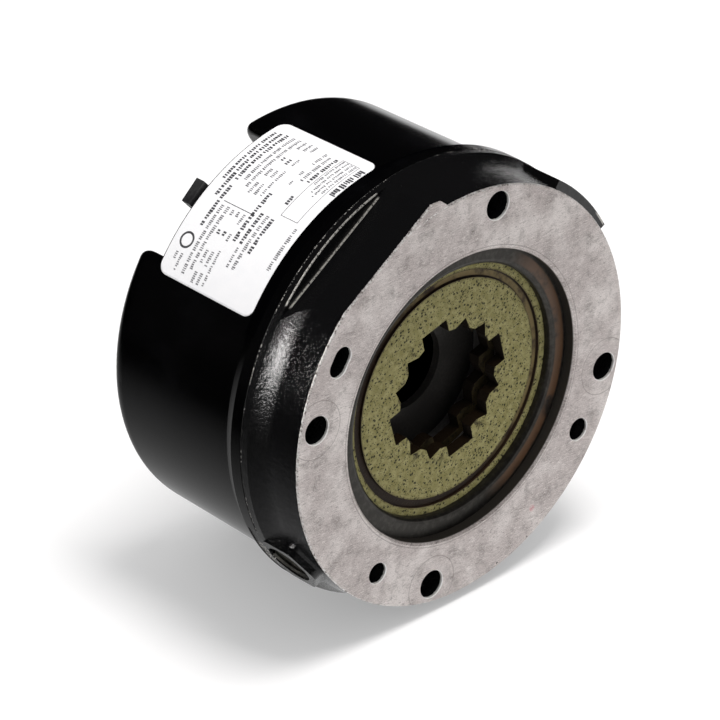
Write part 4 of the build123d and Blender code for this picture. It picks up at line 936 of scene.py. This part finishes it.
@dataclass(frozen=True)
class PaperFinish:
    """Smooth coated paper or its printed ink."""

    name: str
    colour: Colour
    shade: Colour
    roughness: float
    mottle: Grain = Grain(200.0)
    fibre: Grain = Grain(2200.0, 2.0)
    smoother: float = 0.05
    rougher: float = 0.08
    relief: float = 0.008

    def build(self) -> bpy.types.Material:
        """Make the material.

        Returns:
            The material.
        """
        graph = Graph(self.name)
        fibre = graph.grain(self.fibre)
        graph.bump(fibre, self.relief)
        return graph.surface(
            Base_Color=graph.coat(self.colour, Layer(self.mottle, 0.3, 0.8, 1.0, self.shade)),
            Roughness=graph.lerp(fibre, self.roughness - self.smoother, self.roughness + self.rougher),
        )


AnyFinish = Union[Finish, CastPlateFinish, FrictionFinish, RingFinish, GlossPaintFinish, PaperFinish]

FINISHES: tuple[AnyFinish, ...] = (
    CastPlateFinish(),
    FrictionFinish(),
    FrictionFinish("burnt_friction", (0.030, 0.022, 0.009), (0.052, 0.038, 0.016)),
    RingFinish(),
    GlossPaintFinish(),
    PaperFinish("label", (0.85, 0.85, 0.862), (0.825, 0.83, 0.845), 0.42),
    PaperFinish("label_ink", (0.045, 0.045, 0.05), (0.08, 0.08, 0.09), 0.5),
    PaperFinish("label_ink_pale", (0.13, 0.13, 0.14), (0.20, 0.20, 0.21), 0.5),
    Finish("plate_steel", (0.22, 0.215, 0.21), (0.34, 0.33, 0.32), 0.85, 0.42, stretch=(1.0, 1.0, 0.2)),
    Finish("dark_plate", (0.030, 0.028, 0.026), (0.060, 0.056, 0.052), 0.2, 0.48),
    Finish("bright_steel", (0.50, 0.50, 0.49), (0.36, 0.355, 0.34), 0.95, 0.30, 1600.0),
    Finish("spring_steel", (0.16, 0.16, 0.165), (0.28, 0.27, 0.26), 0.9, 0.34, 1600.0),
    Finish("cast_iron", (0.055, 0.054, 0.053), (0.11, 0.105, 0.10), 0.6, 0.58, 700.0, bump=0.1),
    Finish("lamination", (0.15, 0.15, 0.155), (0.25, 0.245, 0.24), 0.8, 0.42, 1400.0, (0.02, 1.0, 0.02)),
    Finish("coil", (0.30, 0.085, 0.035), (0.42, 0.15, 0.06), 0.1, 0.36, 1500.0, (0.1, 0.1, 1.0), 0.1),
    Finish("bush_brass", (0.62, 0.45, 0.19), (0.48, 0.34, 0.15), 0.95, 0.33),
    Finish("black_steel", (0.012, 0.012, 0.013), (0.03, 0.03, 0.031), 0.1, 0.36),
    Finish("gasket", (0.016, 0.016, 0.016), (0.03, 0.03, 0.03), 0.0, 0.7),
    Finish("thread_steel", (0.020, 0.020, 0.018), (0.11, 0.105, 0.09), 0.6, 0.36),
)


@dataclass
class Workshop:
    """Makes each finish once and hands it to the pieces."""

    made: dict[str, bpy.types.Material] = field(default_factory=dict)

    def stock(self, finishes: Iterable[AnyFinish]) -> None:
        """Build the materials of all finishes.

        Args:
            finishes: the finishes to be made.
        """
        for finish in finishes:
            self.made[finish.name] = finish.build()
            log.info("finish %s", finish.name)

    def dress(self, finishes: dict[str, str]) -> None:
        """Give CAD nodes their finishes.

        Args:
            finishes: name of the finish for each name of a node.
        """
        for node, finish in finishes.items():
            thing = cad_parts[node]
            thing.data.materials.clear()
            thing.data.materials.append(self.made[finish])
            log.info("node %s in %s", node, finish)

    def add(self, mesh: bpy.types.Mesh, body: Body, slot: str, *finishes: str) -> bpy.types.Object:
        """Turn a mesh into a piece that rides on a body and has the mesh's name.

        Args:
            mesh: its mesh, in the brake's frame.
            body: what it moves with.
            slot: not used.
            finishes: its finishes, in order.

        Returns:
            The piece.
        """
        thing = put(mesh.name, mesh)
        for finish in finishes:
            mesh.materials.append(self.made[finish])
        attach(thing, body.value)
        log.info("piece %s", thing.name)
        return thing


@dataclass
class Endplate:
    """Cast endplate with its wear ring and the thread of its conduit boss.

    Lengths are in millimetres and angles in degrees. The thread's profile gives, for each of its
    three corners, the rise over the hole's wall and the place along the pitch.
    """

    boss_angle: float = -146.3
    boss_depth: float = 16.3
    hole_radius: float = 9.13
    hole_mouth: float = 85.7
    thread_pitch: float = 1.81
    thread_turns: int = 7
    thread_steps: int = 72
    thread_profile: tuple[Span, ...] = ((-0.02, 0.0), (0.75, 0.45), (-0.02, 0.9))

    def build(self, shop: Workshop) -> None:
        """Dress the castings and add the thread.

        Args:
            shop: where the finishes come from.
        """
        shop.dress({"endplate": "cast_plate", "wear_ring": "ring_steel"})
        shop.add(self.thread(), Body.HOUSING, "cast_plate", "thread_steel")

    def thread(self) -> bpy.types.Mesh:
        """Make the helical thread ridge inside the conduit hole.

        Returns:
            The mesh.
        """
        turn = math.radians(self.boss_angle)
        out = Vector((math.cos(turn), 0.0, math.sin(turn)))
        across = Vector((0.0, 1.0, 0.0))
        side = out.cross(across)
        centre = Vector((0.0, self.boss_depth, 0.0))
        mesh = bmesh.new()
        rows = []
        for index in range(self.thread_turns * self.thread_steps + 1):
            share = index / self.thread_steps
            around = 2 * math.pi * share
            ray = across * math.cos(around) + side * math.sin(around)
            reach = self.hole_mouth - self.thread_pitch * share
            corners = []
            for rise, shift in self.thread_profile:
                point = centre + out * (reach - shift * self.thread_pitch) + ray * (self.hole_radius - rise)
                corners.append(mesh.verts.new(point * MM))
            rows.append(corners)
        for first, second in zip(rows, rows[1:]):
            for left, right in ((0, 1), (1, 2)):
                mesh.faces.new((first[left], first[right], second[right], second[left]))
        return settle(mesh, "conduit_thread")


@dataclass
class DiscStack:
    """Friction discs, the steel discs between and behind them, and the springs."""

    finishes: dict[str, str] = field(
        default_factory=lambda: {
            "front_friction_disc": "friction",
            "rear_friction_disc": "burnt_friction",
            "stationary_disc": "plate_steel",
            "pressure_plate": "plate_steel",
            "pull_studs": "bright_steel",
            "pressure_springs": "spring_steel",
            "spring_cups": "bright_steel",
            "support_plate": "dark_plate",
            "support_screws": "bright_steel",
        }
    )
    spring_seat: float = 2.4

    def build(self, shop: Workshop) -> None:
        """Dress every piece of the stack.

        Args:
            shop: where the finishes come from.
        """
        shop.dress(self.finishes)
        self.springs()

    def springs(self) -> None:
        """Copy the springs into a piece of their own and hide their CAD node."""
        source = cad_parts["pressure_springs"]
        thing = put("springs", source.data.copy())
        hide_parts("pressure_springs")
        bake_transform(thing)
        log.info("piece springs")


@dataclass
class ReleaseGear:
    """Yoke, solenoid and manual release."""

    finishes: dict[str, str] = field(
        default_factory=lambda: {
            "release_yoke": "cast_iron",
            "pivot_brackets": "dark_plate",
            "pivot_pins": "bright_steel",
            "pivot_screws": "bright_steel",
            "plunger": "lamination",
            "plunger_pin": "bright_steel",
            "solenoid_frame": "lamination",
            "solenoid_coil": "coil",
            "solenoid_bracket": "dark_plate",
            "bracket_screws": "bright_steel",
            "solenoid_screws": "bright_steel",
            "release_shaft": "bright_steel",
            "release_bush": "bush_brass",
            "release_lever": "black_steel",
            "release_nut": "bright_steel",
        }
    )

    def build(self, shop: Workshop) -> None:
        """Dress every piece of the gear.

        Args:
            shop: where the finishes come from.
        """
        shop.dress(self.finishes)


# How print breaks into dashes: their length when pale, how many make a word, how far each is cut
# down, and how much their lengths spread.
PALE_DASH = 0.62
WORD_LENGTHS = (3, 8)
TRIMS = (0.0, 0.0, 0.14, 0.26)
DASH_SPREAD = (0.7, 1.15)


@dataclass(frozen=True)
class Bar:
    """One printed bar: its depths in millimetres and its angles on the label in degrees."""

    low: float
    high: float
    start: float
    end: float
    pale: bool = False
    dash: float = 0.56
    gap: float = 0.20
    pause: float = 0.42

    def dashes(self) -> list["Bar"]:
        """Break the bar into short plain dashes, as small print looks from afar.

        Returns:
            The dashes, the same in each run, since the draws follow from the bar's own place.
        """
        chance = random.Random(round(self.low * 100.0 + self.start * 7.0))
        height = self.high - self.low
        dash = self.dash * (PALE_DASH if self.pale else 1.0)
        made, at = [], self.start
        while at < self.end - dash:
            for _ in range(chance.randint(*WORD_LENGTHS)):
                low = self.low + chance.choice(TRIMS) * height
                made.append(Bar(low, self.high, at, at + dash * chance.uniform(*DASH_SPREAD), self.pale))
                at += dash + self.gap
                if at >= self.end - dash:
                    break
            at += self.pause
        return made


def row(depth: float, start: float, end: float, height: float = 1.45, pale: bool = True) -> Bar:
    """Describe one printed row by its middle.

    Args:
        depth: middle of the row, in millimetres behind the mounting face.
        start: angle where the row starts, in degrees.
        end: angle where it ends.
        height: height of the print in millimetres.
        pale: whether the print is thin and grey.

    Returns:
        The row as a bar.
    """
    return Bar(depth - height / 2, depth + height / 2, start, end, pale)


# A row of heavy print.
bold = partial(row, height=1.7, pale=False)

BARS: tuple[Bar, ...] = (
    bold(39.3, 99.0, 110.6, height=2.9),
    row(40.2, 122.6, 135.2, 1.7),
    row(43.4, 98.8, 111.0, 1.1),
    row(45.4, 98.8, 113.0, 1.1),
    row(47.4, 98.8, 112.0, 1.1),
    row(49.4, 98.8, 109.5, 1.1),
    bold(52.4, 99.2, 109.8),
    bold(52.3, 115.0, 118.2),
    bold(52.2, 123.0, 134.0),
    row(55.4, 99.6, 110.4, 1.6),
    row(55.0, 122.8, 139.4, 1.6),
    row(58.2, 99.0, 104.2),
    row(58.2, 107.2, 108.9),
    row(58.2, 111.1, 112.8, 0.9),
    bold(58.0, 122.8, 132.4),
    row(58.0, 133.4, 139.4, 1.1),
    bold(61.4, 117.0, 133.0, height=1.8),
    row(64.4, 98.2, 101.0, 1.2),
    row(64.4, 104.6, 107.2, 1.2),
    row(64.4, 109.6, 119.4, 1.2),
    row(64.4, 125.2, 128.4, 1.2),
    row(64.4, 131.2, 133.6, 1.2),
    row(64.4, 136.2, 146.2, 1.2),
    row(67.2, 98.2, 101.8),
    bold(67.2, 105.6, 107.8),
    row(67.2, 110.4, 113.4),
    row(67.2, 115.6, 119.6),
    row(67.2, 125.2, 127.6),
    bold(67.2, 131.2, 133.0),
    row(67.2, 137.2, 141.4),
    row(67.2, 143.2, 146.6),
    row(70.0, 98.4, 101.6),
    bold(70.0, 105.8, 107.8),
    row(70.0, 110.6, 113.2),
    row(70.0, 115.8, 119.8),
    row(70.0, 125.4, 127.8),
    bold(70.0, 131.4, 133.0),
    row(70.0, 137.4, 141.2),
    row(70.0, 143.4, 146.6),
    row(72.9, 98.6, 118.4, 1.5),
    row(72.9, 125.2, 143.6, 1.5),
    row(75.8, 98.8, 117.0, 1.5),
    row(75.8, 125.4, 145.6, 1.5),
    bold(79.2, 98.8, 118.2),
    bold(78.8, 119.8, 132.8),
    bold(81.8, 99.2, 124.6),
    bold(84.4, 99.6, 119.8, height=1.5),
    row(80.0, 141.0, 146.0, 1.2),
    row(82.6, 141.0, 143.0, 1.2),
)

RULES: tuple[Bar, ...] = (
    Bar(41.9, 42.1, 98.4, 121.1),
    Bar(50.5, 50.7, 98.4, 121.1),
    Bar(41.9, 50.7, 98.4, 98.55),
    Bar(41.9, 50.7, 120.95, 121.1),
    Bar(60.4, 76.8, 124.1, 124.3),
)


@dataclass(frozen=True)
class Ring:
    """Plain printed ring on the label, in millimetres and degrees."""

    depth: float
    angle: float
    outer: float
    inner: float
    steps: int = 40


@dataclass
class Cover:
    """Bell cover with its gasket, screws and the printed label, in millimetres and degrees."""

    body_radius: float = 82.6
    back_radius: float = 81.5
    body_start: float = 36.6
    body_end: float = 94.7
    label_front: float = 37.42
    label_back: float = 87.38
    label_from: float = 94.75
    label_to: float = 147.75
    label_corner: float = 4.0
    corner_shares: tuple[float, ...] = (0.03, 0.1, 0.2, 0.35, 0.55, 0.8)
    label_rise: float = 0.34
    label_under: float = 0.13
    ink_rise: float = 0.37
    ink_angle: float = 0.8
    mark: Ring = Ring(81.2, 137.4, 3.3, 2.45)
    columns: int = 96
    rows: int = 40

    def build(self, shop: Workshop) -> None:
        """Dress the cover and lay the label on it.

        Args:
            shop: where the finishes come from.
        """
        shop.dress({"cover": "black_paint", "cover_gasket": "gasket", "cover_screws": "bright_steel"})
        sheet = shop.add(self.sheet(), Body.HOUSING, "label", "label")
        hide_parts("label")
        dashes = [dash for bar in BARS for dash in bar.dashes()]
        dark = [dash for dash in (*dashes, *RULES) if not dash.pale]
        pale = [dash for dash in dashes if dash.pale]
        dark_print = self.print_mesh("label_print_dark", dark, (self.mark,))
        pale_print = self.print_mesh("label_print_pale", pale)
        shop.add(dark_print, Body.HOUSING, "label", "label_ink")
        shop.add(pale_print, Body.HOUSING, "label", "label_ink_pale")

    def radius_at(self, depth: float) -> float:
        """Give the cover's own radius at a depth.

        Args:
            depth: millimetres behind the mounting face.

        Returns:
            The radius in millimetres.
        """
        share = (depth - self.body_start) / (self.body_end - self.body_start)
        return self.body_radius + (self.back_radius - self.body_radius) * share

    def sheet_depths(self) -> list[float]:
        """List the depths of the label's rows, which lie closer together at its corners.

        Returns:
            The depths, from the front.
        """
        length = self.label_back - self.label_front
        even = {self.label_front + length * index / self.rows for index in range(self.rows + 1)}
        front = {self.label_front + self.label_corner * share for share in self.corner_shares}
        back = {self.label_back - self.label_corner * share for share in self.corner_shares}
        return sorted(even | front | back)

    def skin(self, mesh: bmesh.types.BMesh, rise: float) -> list[list[bmesh.types.BMVert]]:
        """Lay one skin of the label over the cover, with its corners rounded.

        Args:
            mesh: where the points go.
            rise: height over the cover in millimetres.

        Returns:
            The points, row by row.
        """
        grid = []
        for depth in self.sheet_depths():
            gap = min(depth - self.label_front, self.label_back - depth)
            left = max(self.label_corner - gap, 0.0)
            cut = self.label_corner - math.sqrt(max(self.label_corner**2 - left**2, 0.0))
            radius = self.radius_at(depth)
            trim = math.degrees(cut / radius)
            start, end = self.label_from + trim, self.label_to - trim
            angles = (start + (end - start) * column / self.columns for column in range(self.columns + 1))
            grid.append([mesh.verts.new(on_face(radius + rise, angle, depth)) for angle in angles])
        return grid

    def sheet(self) -> bpy.types.Mesh:
        """Make the label as a thin curved sheet with rounded corners.

        Returns:
            The mesh.
        """
        mesh = bmesh.new()
        top = self.skin(mesh, self.label_rise)
        under = self.skin(mesh, self.label_under)
        last = len(top) - 1
        for line in range(last):
            for column in range(self.columns):
                corners = (line, column), (line, column + 1), (line + 1, column + 1), (line + 1, column)
                mesh.faces.new([top[i][j] for i, j in corners])
                mesh.faces.new([under[i][j] for i, j in reversed(corners)])
        border = [(0, column) for column in range(self.columns + 1)]
        border += [(line, self.columns) for line in range(1, last + 1)]
        border += [(last, column) for column in range(self.columns - 1, -1, -1)]
        border += [(line, 0) for line in range(last - 1, 0, -1)]
        for (i, j), (k, m) in zip(border, border[1:] + border[:1]):
            mesh.faces.new((top[k][m], top[i][j], under[i][j], under[k][m]))
        bmesh.ops.recalc_face_normals(mesh, faces=mesh.faces)
        for face in mesh.faces:
            face.smooth = True
        return settle(mesh, "label_sheet")

    def on_ink(self, angle: float, depth: float) -> Vector:
        """Find the point of the print at an angle and a depth of the label."""
        return on_face(self.radius_at(depth) + self.ink_rise, angle, depth)

    def bar_points(self, bar: Bar) -> list[tuple[Vector, Vector]]:
        """Find the pairs of points that a printed bar runs through.

        Args:
            bar: the bar.

        Returns:
            Its front and back points, from its start to its end.
        """
        steps = max(1, math.ceil((bar.end - bar.start) / self.ink_angle))
        points = []
        for index in range(steps + 1):
            angle = bar.start + (bar.end - bar.start) * index / steps
            points.append((self.on_ink(angle, bar.low), self.on_ink(angle, bar.high)))
        return points

    def ring_points(self, ring: Ring) -> list[tuple[Vector, Vector]]:
        """Find the pairs of points that a printed ring runs through.

        Args:
            ring: the ring.

        Returns:
            Its inner and outer points, once round.
        """
        points = []
        for index in range(ring.steps + 1):
            turn = 2 * math.pi * index / ring.steps
            pair = []
            for reach in (ring.inner, ring.outer):
                depth = ring.depth + reach * math.cos(turn)
                swing = reach * math.sin(turn) / (self.radius_at(depth) + self.ink_rise)
                pair.append(self.on_ink(ring.angle + math.degrees(swing), depth))
            points.append((pair[0], pair[1]))
        return points

    def print_mesh(self, name: str, bars: Iterable[Bar], rings: Iterable[Ring] = ()) -> bpy.types.Mesh:
        """Make printed bars and rings as patches just over the label.

        Args:
            name: name of the mesh.
            bars: the bars.
            rings: the rings.

        Returns:
            The mesh.
        """
        mesh = bmesh.new()
        for strip in (*map(self.bar_points, bars), *map(self.ring_points, rings)):
            pairs = [(mesh.verts.new(one), mesh.verts.new(other)) for one, other in strip]
            for first, second in zip(pairs, pairs[1:]):
                mesh.faces.new((first[0], second[0], second[1], first[1]))
        for face in mesh.faces:
            face.normal_update()
            middle = face.calc_center_median()
            if face.normal.dot(Vector((middle.x, 0, middle.z))) < 0:
                face.normal_flip()
            face.smooth = True
        return settle(mesh, name)


@dataclass(frozen=True)
class SoftBox:
    """One rectangular studio lamp, in metres and watts."""

    name: str
    place: Place
    aim: Place
    width: float
    height: float
    power: float
    lights_surfaces: bool
    shows_in_gloss: bool
    colour: Colour = (1.0, 0.975, 0.965)

    def build(self) -> None:
        """Put the lamp in the scene, for plain surfaces, for their gloss or for both."""
        data = bpy.data.lights.new(self.name, "AREA")
        data.shape = "RECTANGLE"
        data.size, data.size_y = self.width, self.height
        data.energy = self.power
        data.color = self.colour
        lamp = put(self.name, data)
        lamp.visible_diffuse = self.lights_surfaces
        lamp.visible_glossy = self.shows_in_gloss
        point_at(lamp, self.place, self.aim)


@dataclass(frozen=True)
class Pool:
    """Round bright patch of the table that polished surfaces mirror, in metres."""

    place: Span
    inner: float
    outer: float
    glow: float


def point_at(thing: bpy.types.Object, place: Place, aim: Place) -> None:
    """Stand a lamp or a camera at a place and turn it towards another.

    Args:
        thing: the lamp or camera.
        place: where it stands.
        aim: what it looks at.
    """
    thing.location = place
    thing.rotation_euler = (Vector(aim) - Vector(place)).to_track_quat("-Z", "Y").to_euler()


@dataclass
class Studio:
    """White table, soft lamps, background and the camera, in metres and millimetres of lens."""

    lens: float = 250.0
    sensor: float = 36.0
    clip: Span = (0.05, 40.0)
    eye: Place = (-1.10226, -1.10689, 0.91211)
    aim: Place = (-0.05185, 0.0, 0.03612)
    floor_size: float = 14.0
    table_colour: Colour = (0.94, 0.94, 0.943)
    table_roughness: float = 0.6
    table_shine: float = 0.2
    table_glow: float = 0.31
    pools: tuple[Pool, ...] = (Pool((0.55, 0.10), 0.35, 0.85, 0.85), Pool((0.10, -0.20), 0.20, 0.36, 0.94))
    room_light: float = 0.62
    room_mirrored: float = 0.006
    lamps: tuple[SoftBox, ...] = (
        SoftBox("key_above", (0.16, -0.36, 2.2), (0.0, 0.0, 0.0), 0.85, 0.85, 44.0, True, False),
        SoftBox("right_back", (1.96, 1.34, 0.01), (0.0, 0.0, 0.0), 0.34, 0.12, 0.5, False, True),
        SoftBox("left_low", (-1.90, 0.16, 0.62), (0.0, 0.02, 0.0), 0.58, 0.30, 40.0, False, True),
    )

    def build(self) -> None:
        """Set up the floor, the background, the lamps and the camera."""
        self.floor()
        self.background()
        for lamp in self.lamps:
            lamp.build()
        self.camera()
        bpy.context.scene.view_settings.view_transform = "Standard"

    def floor(self) -> None:
        """Lay the white table top just under the brake."""
        low = CAD_BOX[0].z
        half = self.floor_size / 2
        mesh = bmesh.new()
        corners = ((-half, -half), (half, -half), (half, half), (-half, half))
        mesh.faces.new([mesh.verts.new((x, y, low)) for x, y in corners])
        thing = put("table_top", settle(mesh, "table_top"))
        thing.data.materials.append(self.table_finish())

    def table_finish(self) -> bpy.types.Material:
        """Make the table's white, which glows for the camera and mirrors as dark with bright pools.

        Returns:
            The material.
        """
        graph = Graph("table_top")
        graph.surface(
            Base_Color=self.table_colour,
            Roughness=self.table_roughness,
            Specular_IOR_Level=self.table_shine,
        )
        mirrored = graph.seen_by((Ray.GLOSSY, Ray.TRANSMISSION))
        bright: Value = 0.0
        for pool in self.pools:
            reach = graph.apart("XY", pool.place)
            bright = graph.most(bright, graph.step(reach, pool.outer, pool.inner, pool.glow))
        glow = graph.node("ShaderNodeEmission")
        graph.feed(glow.inputs["Color"], WHITE)
        graph.feed(glow.inputs["Strength"], graph.lerp(mirrored, 1.0, bright))
        lit = graph.times(graph.seen_by((Ray.CAMERA,)), self.table_glow)
        mix = graph.node("ShaderNodeMixShader")
        graph.feed(mix.inputs[0], graph.most(mirrored, lit))
        graph.feed(mix.inputs[1], graph.shader.outputs[0])
        graph.feed(mix.inputs[2], glow.outputs[0])
        graph.feed(graph.tree.nodes["Material Output"].inputs["Surface"], mix.outputs[0])
        return graph.material

    def background(self) -> None:
        """Make the background white for the camera, soft for plain surfaces and dark for mirrors."""
        world = bpy.data.worlds.new("studio")
        bpy.context.scene.world = world
        world.use_nodes = True
        wiring = Wiring(world.node_tree)
        back = world.node_tree.nodes["Background"]
        strength = wiring.lerp(wiring.seen_by((Ray.GLOSSY,)), self.room_light, self.room_mirrored)
        strength = wiring.lerp(wiring.seen_by((Ray.CAMERA,)), strength, 1.0)
        wiring.feed(back.inputs["Strength"], strength)
        wiring.feed(back.inputs["Color"], WHITE)

    def camera(self) -> None:
        """Put the camera where the photograph was taken from."""
        data = bpy.data.cameras.new("camera")
        data.lens = self.lens
        data.sensor_width = self.sensor
        data.clip_start, data.clip_end = self.clip
        thing = put("camera", data)
        point_at(thing, self.eye, self.aim)
        bpy.context.scene.camera = thing


def main() -> None:
    """Build the whole picture in order."""
    logging.basicConfig(level=logging.INFO, format="%(name)s %(message)s")
    shop = Workshop()
    shop.stock(FINISHES)
    for part in (Endplate(), DiscStack(), ReleaseGear(), Cover()):
        part.build(shop)
        log.info("built %s", type(part).__name__)
    Studio().build()


if __name__ == "__main__":
    main()
